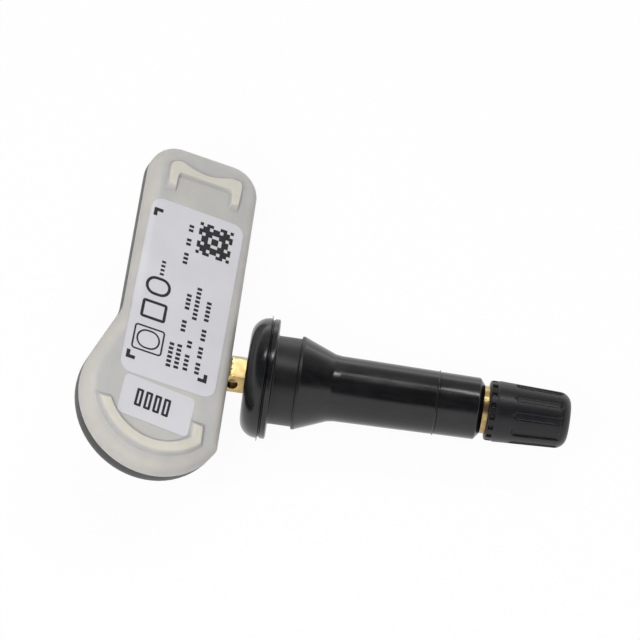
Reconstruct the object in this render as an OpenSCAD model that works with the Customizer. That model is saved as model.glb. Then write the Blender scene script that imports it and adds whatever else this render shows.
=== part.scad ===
// Snap-in tyre pressure sensor: a sealed housing on a rubber snap-in valve stem.
// The row frame has X along the stem towards the cap, Y along the housing towards its narrow end, Z up.
// The origin lies on the stem's axis, in the plane of the flange's shoulder that seats on the rim.
// The housing is drawn in its own flat frame, and leans about Y so that the stem rises towards the lid.

/* [Stem rubber] */
// Diameter of the sealing flange
flange_d = 19.5; // [18.5:0.1:21]
// Thickness of the sealing flange
flange_t = 4.4; // [4.1:0.1:4.8]
// Rounding of the flange's domed edge
flange_round = 2.9; // [2:0.1:3]
// Diameter of the groove that sits in the rim's hole
seat_d = 14.3; // [13.4:0.1:14.6]
// Width of the groove that sits in the rim's hole
seat_w = 3.85; // [3:0.05:5]
// Diameter of the snap-in bulge
bulge_d = 15.1; // [14.8:0.1:16.4]
// Length of the cone behind the bulge
cone_l = 5.95; // [5:0.05:8]
// Diameter of the stem just after the cone
stem_root_d = 10.65; // [10:0.05:12]
// Diameter of the stem at its free end
stem_tip_d = 10.0; // [9.6:0.05:10.4]
// Distance from the shoulder to the mould's parting ridge
ridge_x = 26.6; // [22:0.1:29]
// Height of the parting ridge
ridge_h = 0.16; // [0.06:0.02:0.3]
// Length of the cone at the rubber's free end
end_cone_l = 0.83; // [0.5:0.01:1.2]
// Length of bare brass between the rubber and the cap
brass_gap = 0.82; // [0.4:0.01:1.6]

/* [Brass insert] */
// Width across the flats of the hexagonal foot
foot_af = 5.45; // [5.2:0.05:5.9]
// Angle of the hexagonal foot about the stem
foot_turn = 6; // [0:1:59]
// Distance from the shoulder back to the foot's end
foot_end_x = 12.6; // [12.2:0.1:13]
// Diameter of the cross hole that lets air out of the foot
cross_hole_d = 1.9; // [1.2:0.1:2.2]
// Distance from the shoulder back to the cross hole
cross_hole_x = 6.4; // [6.2:0.1:6.8]
// Diameter of the anchoring disc inside the rubber
anchor_d = 9.4; // [8:0.1:11]
// Diameter of the brass inside the rubber
shank_d = 6.6; // [6.2:0.1:7.2]
// Outer diameter of the valve thread
thread_d = 7.7; // [7.5:0.05:7.9]
// Distance from the shoulder to the stem's tip
tip_x = 46.0; // [45.4:0.1:46.1]
// Diameter of the air passage
passage_d = 3.0; // [2:0.1:3.2]

/* [Valve core] */
// Diameter of the valve core's thread
core_thread_d = 5.2; // [5:0.05:5.4]
// Length of the valve core's threaded head
core_head_l = 3.6; // [3:0.1:3.8]
// Diameter of the valve core's barrel
barrel_d = 3.3; // [3.1:0.05:3.4]
// Length of the valve core from its top to its seat
core_l = 10.8; // [10.4:0.1:11.6]
// Diameter of the valve pin
pin_d = 0.9; // [0.8:0.05:1]
// Travel of the valve pin
pin_travel = 1.2; // [0.8:0.1:1.4]
// Thickness of the spring's wire
wire_d = 0.24; // [0.18:0.02:0.26]
// Number of turns of the core spring
spring_turns = 7; // [5:1:8]

/* [Valve cap] */
// Length of the cap
cap_l = 13.3; // [13.2:0.1:14]
// Diameter of the cap at its open end
cap_open_d = 9.9; // [9.7:0.1:10.6]
// Diameter of the cap near its closed end
cap_far_d = 9.1; // [9:0.1:9.6]
// Rounding of the cap's closed end
cap_round = 2.0; // [1.2:0.1:2.4]
// Thickness of the cap's closed end over its washer
cap_floor = 1.23; // [1:0.01:1.6]
// Number of grip flutes
flute_n = 10; // [6:1:12]
// Angle of the first flute about the stem
flute_turn = 13; // [0:1:36]
// Width of a grip flute
flute_w = 1.5; // [1.1:0.1:1.7]
// Depth of a grip flute
flute_depth = 0.36; // [0.2:0.02:0.4]
// Number of notches in the collar
notch_n = 16; // [8:1:20]
// Angle of the first notch about the stem
notch_turn = 18; // [0:1:22]

/* [Housing outline] */
// Angle between the stem and the housing's plane
lean = 20; // [19:0.5:21]
// Distance from the stem's shoulder back to the housing's straight wall
wall_x = 8.25; // [8.1:0.05:8.6]
// Width of the narrow part
narrow_w = 18.95; // [18.6:0.05:20]
// Distance from the stem's axis to the narrow end
narrow_y = 34.5; // [33.8:0.1:36]
// Radius of the narrow end's corners
corner_r = 5.0; // [4.6:0.1:6]
// Gap between the coin cell and the bulb's wall
bulb_gap = 1.1; // [1.05:0.05:1.6]
// Depth by which the straight wall cuts into the bulb's circle
bulb_cut = 1.25; // [1.1:0.05:1.4]
// Distance from the stem's axis to the bulb's centre
bulb_dy = 11.3; // [11.1:0.1:12]
// Distance from the stem's axis to the start of the slanted side
neck_y = 3.2; // [2.6:0.1:4]
// Rounding of the inner corner at the neck
neck_r = 6.0; // [4:0.1:8]

/* [Housing section] */
// Height of the lid's face over the stem's axis
lid_z = 4.0; // [3.9:0.05:4.4]
// Height of the joint between lid and base
joint_z = 1.0; // [0.9:0.05:1.1]
// Rounding of the lid's edge
lid_round = 2.0; // [1.6:0.05:2.2]
// Thickness of the lid's face
lid_wall = 1.3; // [1.1:0.05:1.4]
// Thickness of the side walls
side_wall = 1.4; // [1.25:0.05:1.45]
// Height of the base's upright edge
base_edge = 1.0; // [0.6:0.05:1.2]
// Upper rounding of the base's flank
flank_r = 3.4; // [2.8:0.1:3.8]
// Angle of the base's flank
flank_angle = 37; // [34:0.5:39]
// Lower rounding of the base's flank
foot_r = 2.0; // [1.7:0.1:2.4]
// Depth of the base's underside below the stem's axis at the bulb
base_z = 7.3; // [7.1:0.05:7.8]
// Rise of the underside from the bulb to the narrow end
base_rise = 2.9; // [2.4:0.1:3]
// Thickness of the base's floor
floor_wall = 1.3; // [1.1:0.05:1.4]

/* [Lid ribs] */
// Height of the lid's ribs
rib_h = 0.8; // [0.4:0.05:1.2]
// Width of a rib's crest
rib_w = 1.1; // [1:0.05:1.15]
// Width of a rib's slope
rib_slope = 0.5; // [0.3:0.05:0.55]
// Dip in the outer side of the rib at the narrow end
rib_dip = 1.25; // [0.4:0.05:1.3]

/* [Labels] */
// Width of the large label
label_w = 16.1; // [14:0.1:16.2]
// Length of the large label
label_l = 32.3; // [28:0.1:32.4]
// Clearance round the small label, which fills the room between the large label and the rib
tag_gap = 0.15; // [0.12:0.01:0.6]
// Thickness of the labels
label_t = 0.1; // [0.06:0.01:0.2]

/* [Inside] */
// Diameter of the coin cell
cell_d = 20.0; // [18:0.1:20.1]
// Thickness of the coin cell
cell_t = 3.2; // [3:0.05:3.25]
// Thickness of the battery tabs
tab_t = 0.15; // [0.1:0.01:0.18]
// Thickness of the circuit board
board_t = 0.8; // [0.6:0.05:0.85]
// Inset of the circuit board from the housing's outline
board_inset = 2.7; // [2.65:0.05:3]
// Side of the square sensor chip
chip_w = 7.0; // [5:0.1:7.4]
// Height of the sensor chip
chip_h = 2.0; // [1.6:0.1:2.1]
// Diameter of the pressure port
port_d = 1.6; // [1:0.1:2]
// Length of the wake-up coil
coil_l = 8.0; // [6:0.1:8.4]

/* [Fixing screw] */
// Diameter of the screw's shank
screw_d = 2.5; // [2.2:0.1:2.6]
// Length of the screw that sits in the brass foot
screw_grip = 3.4; // [2.4:0.1:3.6]
// Thickness of the wall under the screw's head
screw_wall = 1.8; // [1.6:0.1:2]
// Diameter of the screw's head
screw_head_d = 4.5; // [4:0.1:4.6]
// Thickness of the screw's head
screw_head_t = 1.8; // [1.5:0.1:2]

/* [Hidden] */
$fn = 64;
// Overlap that lets a cut run clear of the face it starts from
over = 1;
// Depth by which one solid sinks into the solid that carries it
sink = 0.02;
// Clearance of a turning or sliding fit, on the radius
run_fit = 0.05;
// Clearance between pieces that are put together by hand
ease = 0.1;

// Lines of the housing's outline, seen from above
wall_right = -wall_x;
wall_left = wall_right - narrow_w;
spine_x = (wall_right + wall_left) / 2;
bulb_r = cell_d / 2 + bulb_gap + side_wall;
bulb_x = wall_right - bulb_r + bulb_cut;
bulb_y = -bulb_dy;
// Height along the housing where the underside starts to rise
rise_y = 6;

// The slanted side touches the bulb's circle, and the neck's fillet touches both sides
neck_to_bulb = [wall_left - bulb_x, neck_y - bulb_y];
slant_angle = atan2(neck_to_bulb.y, neck_to_bulb.x) + acos(bulb_r / norm(neck_to_bulb));
neck_turn = 180 - slant_angle;
neck_arc_y = neck_y + neck_r * tan(neck_turn / 2);

// Points of an arc about c from angle a to angle b, in n pieces
function arc(c, r, a, b, n) =
    [for (i = [0 : n]) let(t = a + (b - a) * i / n) c + r * [cos(t), sin(t)]];

// Points that divide the way from p to q into n pieces, without the ends
function between(p, q, n) = [for (i = [1 : n - 1]) p + (q - p) * i / n];

// Numbers of pieces in the outline's corners, neck and bulb, and in a straight run
corner_n = 9;
neck_n = 4;
bulb_n = 34;
run_n = 3;

// The outline moved inwards by d, anticlockwise from the corner between bulb and straight wall
function outline(d = 0) = let(
    bulb_end = 360 - acos((wall_right - d - bulb_x) / (bulb_r - d)),
    right = arc([wall_right - corner_r, narrow_y - corner_r], corner_r - d, 0, 90, corner_n),
    left = arc([wall_left + corner_r, narrow_y - corner_r], corner_r - d, 90, 180, corner_n),
    neck = arc([wall_left - neck_r, neck_arc_y], neck_r + d, 0, -neck_turn, neck_n),
    bulb = arc([bulb_x, bulb_y], bulb_r - d, slant_angle, bulb_end, bulb_n),
    split_right = [wall_right - d, rise_y],
    split_left = [wall_left + d, rise_y])
    concat(between(bulb[bulb_n], split_right, run_n), [split_right], between(split_right, right[0], run_n),
        right, left, between(left[corner_n], split_left, run_n), [split_left], neck,
        between(neck[neck_n], bulb[0], 2), bulb);

// Places of the two splitting points in that list
split_a = run_n - 1;
split_b = 3 * run_n + 2 * corner_n;

outline_0 = outline(0);
outline_n = len(outline_0);
outline_step = (outline(2) - outline_0) / 2;

// A closed skin through rings of equal length, from the lowest to the highest. Each end is closed by
// fans, and each fan is a centre point with the places of its ring points in order
module skin(rings, low_fans, high_fans) {
    n = len(rings[0]);
    last = len(rings) - 1;
    fans = concat(low_fans, high_fans);
    points = concat([for (ring = rings) each ring], [for (fan = fans) fan[0]]);
    sides = [for (k = [0 : last - 1]) for (i = [0 : n - 1]) let(j = (i + 1) % n)
        each [[k * n + i, (k + 1) * n + i, (k + 1) * n + j], [k * n + i, (k + 1) * n + j, k * n + j]]];
    first = len(rings) * n;
    caps = [for (f = [0 : len(fans) - 1]) let(at = fans[f][1], m = len(at), up = f >= len(low_fans))
        for (i = [0 : m - 1]) let(p = at[i], q = at[(i + 1) % m])
            up ? [first + f, last * n + q, last * n + p] : [first + f, p, q]];
    polyhedron(points, concat(sides, caps), convexity = 6);
}

// A bar with a sloping edge, from a low and a high outline. Each outline has its outer points first, then
// as many inner points on the way back
module ribbon(low, high) {
    n = len(low);
    half = n / 2;
    sides = [for (i = [0 : n - 1]) let(j = (i + 1) % n) each [[i, n + i, n + j], [i, n + j, j]]];
    caps = [for (i = [0 : half - 2]) let(a = i, b = i + 1, c = n - 2 - i, d = n - 1 - i)
        each [[a, b, c], [a, c, d], [n + a, n + c, n + b], [n + a, n + d, n + c]]];
    polyhedron(concat(low, high), concat(sides, caps), convexity = 6);
}

function all_of(n) = [for (i = [0 : n - 1]) i];

function lifted(ring, z) = [for (p = ring) [p.x, p.y, z]];

// Turns the housing's own flat frame into the row frame
module in_housing() {
    rotate([0, lean, 0]) children();
}

// A solid turned about the stem's axis, from points of distance and radius
module turned(profile, fn = 96) {
    rotate([0, 90, 0]) rotate_extrude($fn = fn) polygon([for (p = profile) [p[1], p[0]]]);
}

// A round bar on the stem's axis
module rod(x0, x1, d, fn = 64) {
    translate([x0, 0, 0]) rotate([0, 90, 0]) cylinder(h = x1 - x0, d = d, $fn = fn);
}

module hex_bar(x0, x1, af) {
    translate([x0, 0, 0]) rotate([foot_turn, 0, 0]) rotate([0, 90, 0]) rotate([0, 0, 30])
        cylinder(h = x1 - x0, d = af / cos(30), $fn = 6);
}

// Underside: level under the bulb, then a straight rise to the narrow end
function bottom_z(y) = -base_z + base_rise * max(0, y - rise_y) / (narrow_y - rise_y);

// Section of the base's flank for a wall of thickness w: an upper rounding, a slope and a lower rounding
flank_top_z = joint_z - base_edge;
function flank_reach(depth) = foot_r * cos(flank_angle) + flank_r * (1 - cos(flank_angle))
    + tan(flank_angle) * (depth - foot_r + (foot_r - flank_r) * sin(flank_angle));
function upper_ring(t, w) = [for (i = [0 : outline_n - 1]) let(
    p = outline_0[i] + outline_step[i] * (flank_r - (flank_r - w) * cos(t)))
    [p.x, p.y, flank_top_z - (flank_r - w) * sin(t)]];
function lower_ring(t, w, floor_w) = [for (i = [0 : outline_n - 1]) let(
    reach = flank_reach(flank_top_z - bottom_z(outline_0[i].y)),
    side_w = w + (floor_w - w) * (t - flank_angle) / (90 - flank_angle),
    p = outline_0[i] + outline_step[i] * (reach - (foot_r - side_w) * cos(t)))
    [p.x, p.y, bottom_z(p.y) + foot_r - (foot_r - side_w) * sin(t)]];

upper_n = 4;
lower_n = 4;
module hull_skin(w, floor_w, top_z) {
    lower = [for (k = [0 : lower_n]) lower_ring(90 - (90 - flank_angle) * k / lower_n, w, floor_w)];
    upper = [for (k = [0 : upper_n]) upper_ring(flank_angle * (1 - k / upper_n), w)];
    rising = [for (i = [split_a : split_b]) i];
    level = concat([for (i = [split_b : outline_n - 1]) i], [for (i = [0 : split_a]) i]);
    rising_y = (rise_y + narrow_y) / 2;
    level_z = -base_z + floor_w;
    skin(concat(lower, upper, [lifted(outline(w), top_z)]),
        [[[spine_x, rising_y, bottom_z(rising_y) + floor_w], rising], [[spine_x, 0, level_z], level]],
        [[[spine_x, 0, top_z], all_of(outline_n)]]);
}

module base_skin() {
    hull_skin(0, 0, joint_z);
}

// Foot pocket, screw wall and screwdriver channel, all on the stem's axis
pocket_af = foot_af + 2 * run_fit;
pocket_x = foot_end_x + ease;
head_x = pocket_x + screw_wall;
lug_wall = 1.0;
lug_d = pocket_af / cos(30) + 2 * lug_wall;
channel_d = screw_head_d + 4 * ease;
channel_wall_d = channel_d + 2 * lug_wall;
channel_l = 24;

// Heights of the stack inside the housing
lid_face = lid_z - lid_wall;
cell_top = lid_face - tab_t - ease;
cell_bottom = cell_top - cell_t;
board_top = cell_bottom - tab_t - 2 * ease;
board_bottom = board_top - board_t;
chip_bottom = board_bottom - chip_h;
seal_t = 1.0;
boss_top = chip_bottom - seal_t;

// Places in plan
cell_gap = 0.25;
cell_x = wall_right - side_wall - cell_gap - cell_d / 2;
cell_y = bulb_y - 0.2;
chip_x = spine_x;
chip_y = 14;
boss_d = 6;

// The base's locating lip stands inside the lid's wall, along the narrow part only
lip_gap = 0.05;
lip_t = 0.6;
lip_h = 1.0;
post_d = 2.2;
posts = [[bulb_x - 6, bulb_y - 1.5], [bulb_x + 4.5, bulb_y - 5.5], [spine_x - 3.4, narrow_y - 5.6],
    [spine_x + 3.4, narrow_y - 5.6]];
// Depth to which posts and boss sink into the floor
root = 0.6;

module base_shell() {
    difference() {
        base_skin();
        hull_skin(side_wall, floor_wall, joint_z + over);
    }
}

module base_lip() {
    difference() {
        translate([0, 0, joint_z - lip_h]) linear_extrude(height = 2 * lip_h) difference() {
            polygon(outline(side_wall + lip_gap));
            polygon(outline(side_wall + lip_gap + lip_t));
        }
        translate([wall_left - bulb_r, rise_y - 3 * bulb_r, joint_z - 2 * lip_h])
            cube([2 * narrow_w + bulb_r, 3 * bulb_r, 4 * lip_h]);
    }
    // Foot that ties the lip to the wall just under the joint
    difference() {
        translate([0, 0, joint_z - lip_h]) linear_extrude(height = lip_h - lip_gap) difference() {
            polygon(outline(side_wall - sink));
            polygon(outline(side_wall + lip_gap + lip_t));
        }
        translate([wall_left - bulb_r, rise_y - 3 * bulb_r, joint_z - 2 * lip_h])
            cube([2 * narrow_w + bulb_r, 3 * bulb_r, 4 * lip_h]);
    }
}

module base_housing() {
    color([0.13, 0.13, 0.14]) difference() {
        union() {
            in_housing() {
                base_shell();
                base_lip();
                for (p = posts) translate([p.x, p.y, bottom_z(p.y) + root])
                    cylinder(h = board_bottom - bottom_z(p.y) - root, d = post_d, $fn = 32);
                translate([chip_x, chip_y, bottom_z(chip_y) + root])
                    cylinder(h = boss_top - bottom_z(chip_y) - root, d = boss_d);
            }
            intersection() {
                rod(-head_x, -wall_x / 2, lug_d);
                in_housing() translate([0, 0, -3 * base_z]) linear_extrude(height = joint_z + 3 * base_z)
                    polygon(outline(sink));
            }
            intersection() {
                rod(-head_x - channel_l, -head_x + sink, channel_wall_d);
                in_housing() hull_skin(sink, sink, joint_z);
            }
        }
        hex_bar(-pocket_x, 0, pocket_af);
        rod(-head_x - over, -pocket_x + over, screw_d + 2 * ease);
        rod(-head_x - 2 * channel_l, -head_x, channel_d);
        in_housing() translate([chip_x, chip_y, -2 * base_z]) cylinder(h = 2 * base_z, d = port_d, $fn = 32);
    }
}

// Lid
lid_n = 8;
module lid_shell() {
    edge = [for (k = [0 : lid_n]) let(a = 90 * k / lid_n)
        lifted(outline(lid_round * (1 - cos(a))), lid_z - lid_round * (1 - sin(a)))];
    difference() {
        skin(concat([lifted(outline(), joint_z)], edge), [[[spine_x, 0, joint_z], all_of(outline_n)]],
            [[[spine_x, 0, lid_z], all_of(outline_n)]]);
        translate([0, 0, joint_z - over]) linear_extrude(height = lid_face - joint_z + over)
            polygon(outline(side_wall));
    }
}

// Rib at the narrow end: an open U whose cross leg is thinner in the middle
u_left_gap = 4.7;
u_right_gap = 5.35;
u_end_gap = 5.65;
u_leg = 3.45;
u_left = wall_left + u_left_gap;
u_right = wall_right - u_right_gap;
u_end_y = narrow_y - u_end_gap;
u_foot_y = u_end_y - u_leg;
ear_w = 0.8;
ear_drop = 0.45;
ear_rise = 0.45;
dip_n = 8;
rib_full = rib_w + 2 * rib_slope;
function u_outline(s) = let(
    far = rib_full - s,
    top = u_end_y + far + ear_rise,
    end = u_end_y + s,
    foot = u_foot_y + s,
    across = [for (i = [1 : dip_n - 1]) i / dip_n])
    concat([[u_right + far, foot], [u_right + far, top - ear_drop], [u_right + far - ear_w, top]],
        [for (t = across) [u_right + (u_left - u_right) * t, top - rib_dip * sin(180 * t)]],
        [[u_left - far + ear_w, top], [u_left - far, top - ear_drop], [u_left - far, foot],
        [u_left - s, foot], [u_left - s, end - ear_drop], [u_left - s, end]],
        [for (t = across) [u_left + (u_right - u_left) * t, end]],
        [[u_right + s, end], [u_right + s, end - ear_drop], [u_right + s, foot]]);

// Rib at the bulb: an arc that turns up beside the straight wall
rib_inset = 2.9;
arc_rib_r = bulb_r - rib_inset;
arc_rib_c = [bulb_x - 0.05, bulb_y + 0.8];
arc_rib_n = 20;
leg_inset = 4.4;
leg_drop = 2.4;
leg_x = wall_right - leg_inset;
leg_y = bulb_y - leg_drop;
function arc_rib_outline(s) = let(
    half = rib_full / 2 - s,
    inner_r = arc_rib_r - half,
    outer_r = arc_rib_r + half,
    foot = leg_y - s,
    out_a = 180 + asin((arc_rib_c.y - foot) / outer_r),
    in_a = 180 + asin((arc_rib_c.y - foot) / inner_r),
    out_b = 360 - acos((leg_x + half - arc_rib_c.x) / outer_r),
    in_b = 360 - acos((leg_x - half - arc_rib_c.x) / inner_r))
    concat(arc(arc_rib_c, outer_r, out_a, out_b, arc_rib_n), [[leg_x + half, foot], [leg_x - half, foot]],
        arc(arc_rib_c, inner_r, in_b, in_a, arc_rib_n));

module lid() {
    color([0.84, 0.83, 0.79]) in_housing() {
        lid_shell();
        ribbon(lifted(u_outline(0), lid_z - sink), lifted(u_outline(rib_slope), lid_z + rib_h));
        ribbon(lifted(arc_rib_outline(0), lid_z - sink), lifted(arc_rib_outline(rib_slope), lid_z + rib_h));
    }
}

// Labels
label_at = [spine_x - 0.75, 7.1];
label_turn = -1.2;
label_corner = 2.0;
label_gap = 0.6;
tag_turn = -4.3;
tag_corner = 0.8;
tag_x = bulb_x - 0.35;
// The small label ends beside the rib's leg, and its lower corners end at the rib's inner edge
tag_w = 2 * (leg_x - rib_full / 2 - tag_gap - tag_x) / cos(tag_turn);
tag_top = label_at.y - label_l / 2 - label_gap;
tag_room_r = arc_rib_r - rib_full / 2 - tag_gap + (sqrt(2) - 1) * tag_corner;
tag_low = arc_rib_c.y - sqrt(pow(tag_room_r, 2) - pow(tag_w / 2 + arc_rib_c.x - tag_x, 2));
tag_l = tag_top - tag_low;
tag_at = [tag_x, (tag_top + tag_low) / 2];

module rounded_plate(w, l, t, r) {
    linear_extrude(height = t) union() {
        square([w - 2 * r, l], center = true);
        square([w, l - 2 * r], center = true);
        for (sx = [-1, 1]) for (sy = [-1, 1])
            translate([sx * (w / 2 - r), sy * (l / 2 - r)]) circle(r = r, $fn = 32);
    }
}

module spec_label() {
    color([0.82, 0.82, 0.85]) in_housing() translate([label_at.x, label_at.y, lid_z])
        rotate([0, 0, label_turn]) rounded_plate(label_w, label_l, label_t, label_corner);
}

module number_label() {
    color([0.82, 0.82, 0.85]) in_housing() translate([tag_at.x, tag_at.y, lid_z])
        rotate([0, 0, tag_turn]) rounded_plate(tag_w, tag_l, label_t, tag_corner);
}

// Electronics
// The board's notch clears the lug and the roof of the screwdriver channel
notch_gap = 0.4;
notch_w = lug_d + 2 * notch_gap;
notch_x = min((board_bottom - notch_gap - channel_wall_d / 2 / cos(lean)) / tan(lean),
    -head_x * cos(lean) - lug_d / 2 * sin(lean) - notch_gap);

module circuit_board() {
    color([0.05, 0.3, 0.16]) in_housing() translate([0, 0, board_bottom]) linear_extrude(height = board_t)
        difference() {
            polygon(outline(board_inset));
            translate([notch_x, -notch_w / 2]) square([-notch_x, notch_w]);
        }
}

module coin_cell() {
    can_round = 0.4;
    rim_w = 1.2;
    step = 0.25;
    color([0.75, 0.75, 0.76]) in_housing() translate([cell_x, cell_y, cell_bottom])
        rotate_extrude($fn = 96) polygon([[0, 0], [cell_d / 2 - rim_w, 0], [cell_d / 2 - rim_w, step],
            [cell_d / 2 - can_round, step], [cell_d / 2, step + can_round], [cell_d / 2, cell_t - can_round],
            [cell_d / 2 - can_round, cell_t], [0, cell_t]]);
}

// Battery tabs: a strip on the cell, a leg beside it and a foot on the board
tab_w = 3.2;
tab_foot = 1.2;
tab_gap = 0.6;
tab_leg_y = cell_y + cell_d / 2 + tab_gap;
module battery_tab(x, y0, z) {
    translate([x - tab_w / 2, y0, z]) cube([tab_w, tab_leg_y + tab_t - y0, tab_t]);
    translate([x - tab_w / 2, tab_leg_y, board_top]) cube([tab_w, tab_t, z + tab_t - board_top]);
    translate([x - tab_w / 2, tab_leg_y, board_top]) cube([tab_w, tab_foot, tab_t]);
}

module battery_tab_positive() {
    color([0.8, 0.8, 0.8]) in_housing() battery_tab(cell_x, cell_y - cell_d / 10, cell_top);
}

module battery_tab_negative() {
    color([0.8, 0.8, 0.8]) in_housing()
        battery_tab(cell_x - tab_w - tab_gap, cell_y - cell_d / 4, cell_bottom - tab_t);
}

module sensor_chip() {
    lead_n = 6;
    lead_w = 0.4;
    lead_l = 0.5;
    lead_t = 0.2;
    lead_pitch = 0.8;
    port_depth = 0.9;
    color([0.1, 0.1, 0.11]) in_housing() difference() {
        union() {
            translate([chip_x - chip_w / 2, chip_y - chip_w / 2, chip_bottom]) cube([chip_w, chip_w, chip_h]);
            for (i = [0 : lead_n - 1]) translate([chip_x - chip_w / 2 - lead_l,
                chip_y + (i - (lead_n - 1) / 2) * lead_pitch - lead_w / 2, board_bottom - lead_t])
                cube([chip_w + 2 * lead_l, lead_w, lead_t]);
        }
        translate([chip_x, chip_y, chip_bottom - over]) cylinder(h = over + port_depth, d = port_d, $fn = 32);
    }
}

module port_seal() {
    seal_d = 4.6;
    color([0.2, 0.2, 0.22]) in_housing() translate([chip_x, chip_y, boss_top]) difference() {
        cylinder(h = seal_t, d = seal_d);
        translate([0, 0, -over]) cylinder(h = seal_t + 2 * over, d = port_d + 2 * ease, $fn = 32);
    }
}

// Wake-up coil: a ferrite core with two end flanges, and the winding on its waist
coil_gap = 7.8;
coil_y = narrow_y - coil_gap;
coil_w = 2.4;
coil_h = 2.5;
coil_end = 1.2;
waist_w = 1.2;
waist_h = 1.1;
waist_z = (coil_h - waist_h) / 2;
wind_t = 0.45;

module lf_coil_core() {
    color([0.2, 0.19, 0.18]) in_housing() translate([spine_x, coil_y, board_top]) {
        translate([-coil_l / 2, -waist_w / 2, waist_z]) cube([coil_l, waist_w, waist_h]);
        for (s = [-1, 1]) translate([s * (coil_l - coil_end) / 2 - coil_end / 2, -coil_w / 2, 0])
            cube([coil_end, coil_w, coil_h]);
    }
}

module lf_coil_winding() {
    wind_l = coil_l - 2 * coil_end;
    wind_z = board_top + waist_z + waist_h / 2;
    color([0.72, 0.4, 0.2]) in_housing() translate([spine_x, coil_y, wind_z]) difference() {
        cube([wind_l, waist_w + 2 * wind_t, waist_h + 2 * wind_t], center = true);
        cube([wind_l + over, waist_w, waist_h], center = true);
    }
}

module crystal() {
    size_body = [3.2, 2.5, 0.5];
    size_lid = [2.7, 2.0, 0.25];
    color([0.8, 0.78, 0.7]) in_housing() translate([spine_x + 2.4, coil_y - 5.6, board_top]) {
        translate([-size_body.x / 2, -size_body.y / 2, 0]) cube(size_body);
        translate([-size_lid.x / 2, -size_lid.y / 2, size_body.z]) cube(size_lid);
    }
}

// Loop antenna: a strip on edge along three sides of the narrow part, with two feet on the board
antenna_h = 2.9;
antenna_t = 0.5;
antenna_rise = 1.0;
antenna_foot = 1.5;
antenna_y = 9;
module rf_antenna() {
    inset = board_inset + lip_gap;
    cut_x = wall_left - bulb_r;
    cut_w = narrow_w + 2 * bulb_r;
    color([0.85, 0.8, 0.6]) in_housing() difference() {
        translate([0, 0, board_top]) linear_extrude(height = antenna_h) difference() {
            polygon(outline(inset));
            polygon(outline(inset + antenna_t));
        }
        translate([cut_x, antenna_y - 4 * bulb_r, board_top - over])
            cube([cut_w, 4 * bulb_r, antenna_h + 2 * over]);
        translate([cut_x, antenna_y + antenna_foot, board_top - over])
            cube([cut_w, narrow_y, antenna_rise + over]);
    }
}

module chip_components() {
    part_l = 1.6;
    part_w = 0.8;
    part_h = 0.6;
    step_x = 2.6;
    step_y = 1.8;
    color([0.55, 0.42, 0.3]) in_housing() for (i = [-1 : 1]) for (j = [0 : 2])
        translate([spine_x + i * step_x - part_l / 2, chip_y - 2 + j * step_y, board_top])
            cube([part_l, part_w, part_h]);
}

// The cap's washer lies on the stem's tip, and the rubber ends short of the cap's open end
washer_w = 0.8;
washer_x = tip_x + sink;
cap_bore_end = washer_x + washer_w + ease;
cap_end_x = cap_bore_end + cap_floor;
cap_x = cap_end_x - cap_l;
rubber_end_x = cap_x - brass_gap;

// Brass insert
collar_d = foot_af / cos(30) + 0.2;
anchor_x = 1.0;
anchor_t = 1.4;
anchor_slope = 1.2;
neck_start_x = rubber_end_x - 4.5;
neck_slope = 0.6;
key_depth = 0.4;
key_w = 1.0;
keys_x = [8, 14, 20];

// Outside of the brass in the rubber, which is the rubber's own bore
insert_profile = concat([[-flange_t, collar_d / 2], [-flange_t + anchor_x - 0.2, collar_d / 2],
    [-flange_t + anchor_x, anchor_d / 2], [-flange_t + anchor_x + anchor_t, anchor_d / 2],
    [-flange_t + anchor_x + anchor_t + anchor_slope, shank_d / 2]],
    [for (x = keys_x) each [[x, shank_d / 2], [x + key_depth, shank_d / 2 - key_depth],
        [x + key_depth + key_w, shank_d / 2 - key_depth], [x + 2 * key_depth + key_w, shank_d / 2]]],
    [[neck_start_x, shank_d / 2], [neck_start_x + neck_slope, thread_d / 2], [rubber_end_x, thread_d / 2]]);

// Chamber for the valve core: a threaded mouth, a tapered seat and a narrow barrel
core_drop = 0.5;
core_top_x = tip_x - core_drop;
core_head_end = core_top_x - core_head_l;
core_seat_x = core_top_x - core_l;
mouth_d = core_thread_d + 2 * run_fit;
mouth_slope = 0.5;
seat_wide_d = barrel_d + 1.4;
seat_narrow_d = barrel_d + 0.7;
seat_wide_x = core_head_end - 1.4;
seat_narrow_x = seat_wide_x - 2.6;
plug_l = 1.3;
washer_t = 0.3;
room = 0.9;
chamber_end_x = core_seat_x - plug_l - washer_t - pin_travel - room;
passage_start_x = cross_hole_x + cross_hole_d / 2 + 0.05;

module stem_insert() {
    tip_chamfer = 0.6;
    hole_extra = 0.4;
    color([0.86, 0.67, 0.3]) difference() {
        union() {
            hex_bar(-foot_end_x, -flange_t + sink, foot_af);
            turned(concat([[-flange_t, 0]], insert_profile, [[tip_x - tip_chamfer, thread_d / 2],
                [tip_x, thread_d / 2 - tip_chamfer], [tip_x, 0]]));
        }
        rod(-passage_start_x, chamber_end_x + sink, passage_d);
        turned([[chamber_end_x, 0], [chamber_end_x, seat_narrow_d / 2], [seat_narrow_x, seat_narrow_d / 2],
            [seat_wide_x, seat_wide_d / 2], [core_head_end - mouth_slope, seat_wide_d / 2],
            [core_head_end, mouth_d / 2], [tip_x + over, mouth_d / 2], [tip_x + over, 0]]);
        translate([-cross_hole_x, 0, 0]) rotate([60 + foot_turn, 0, 0])
            cylinder(h = foot_af + 2 * over, d = cross_hole_d, center = true, $fn = 48);
        rod(-foot_end_x - over, -foot_end_x + screw_grip + hole_extra, screw_d + sink);
    }
}

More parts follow.
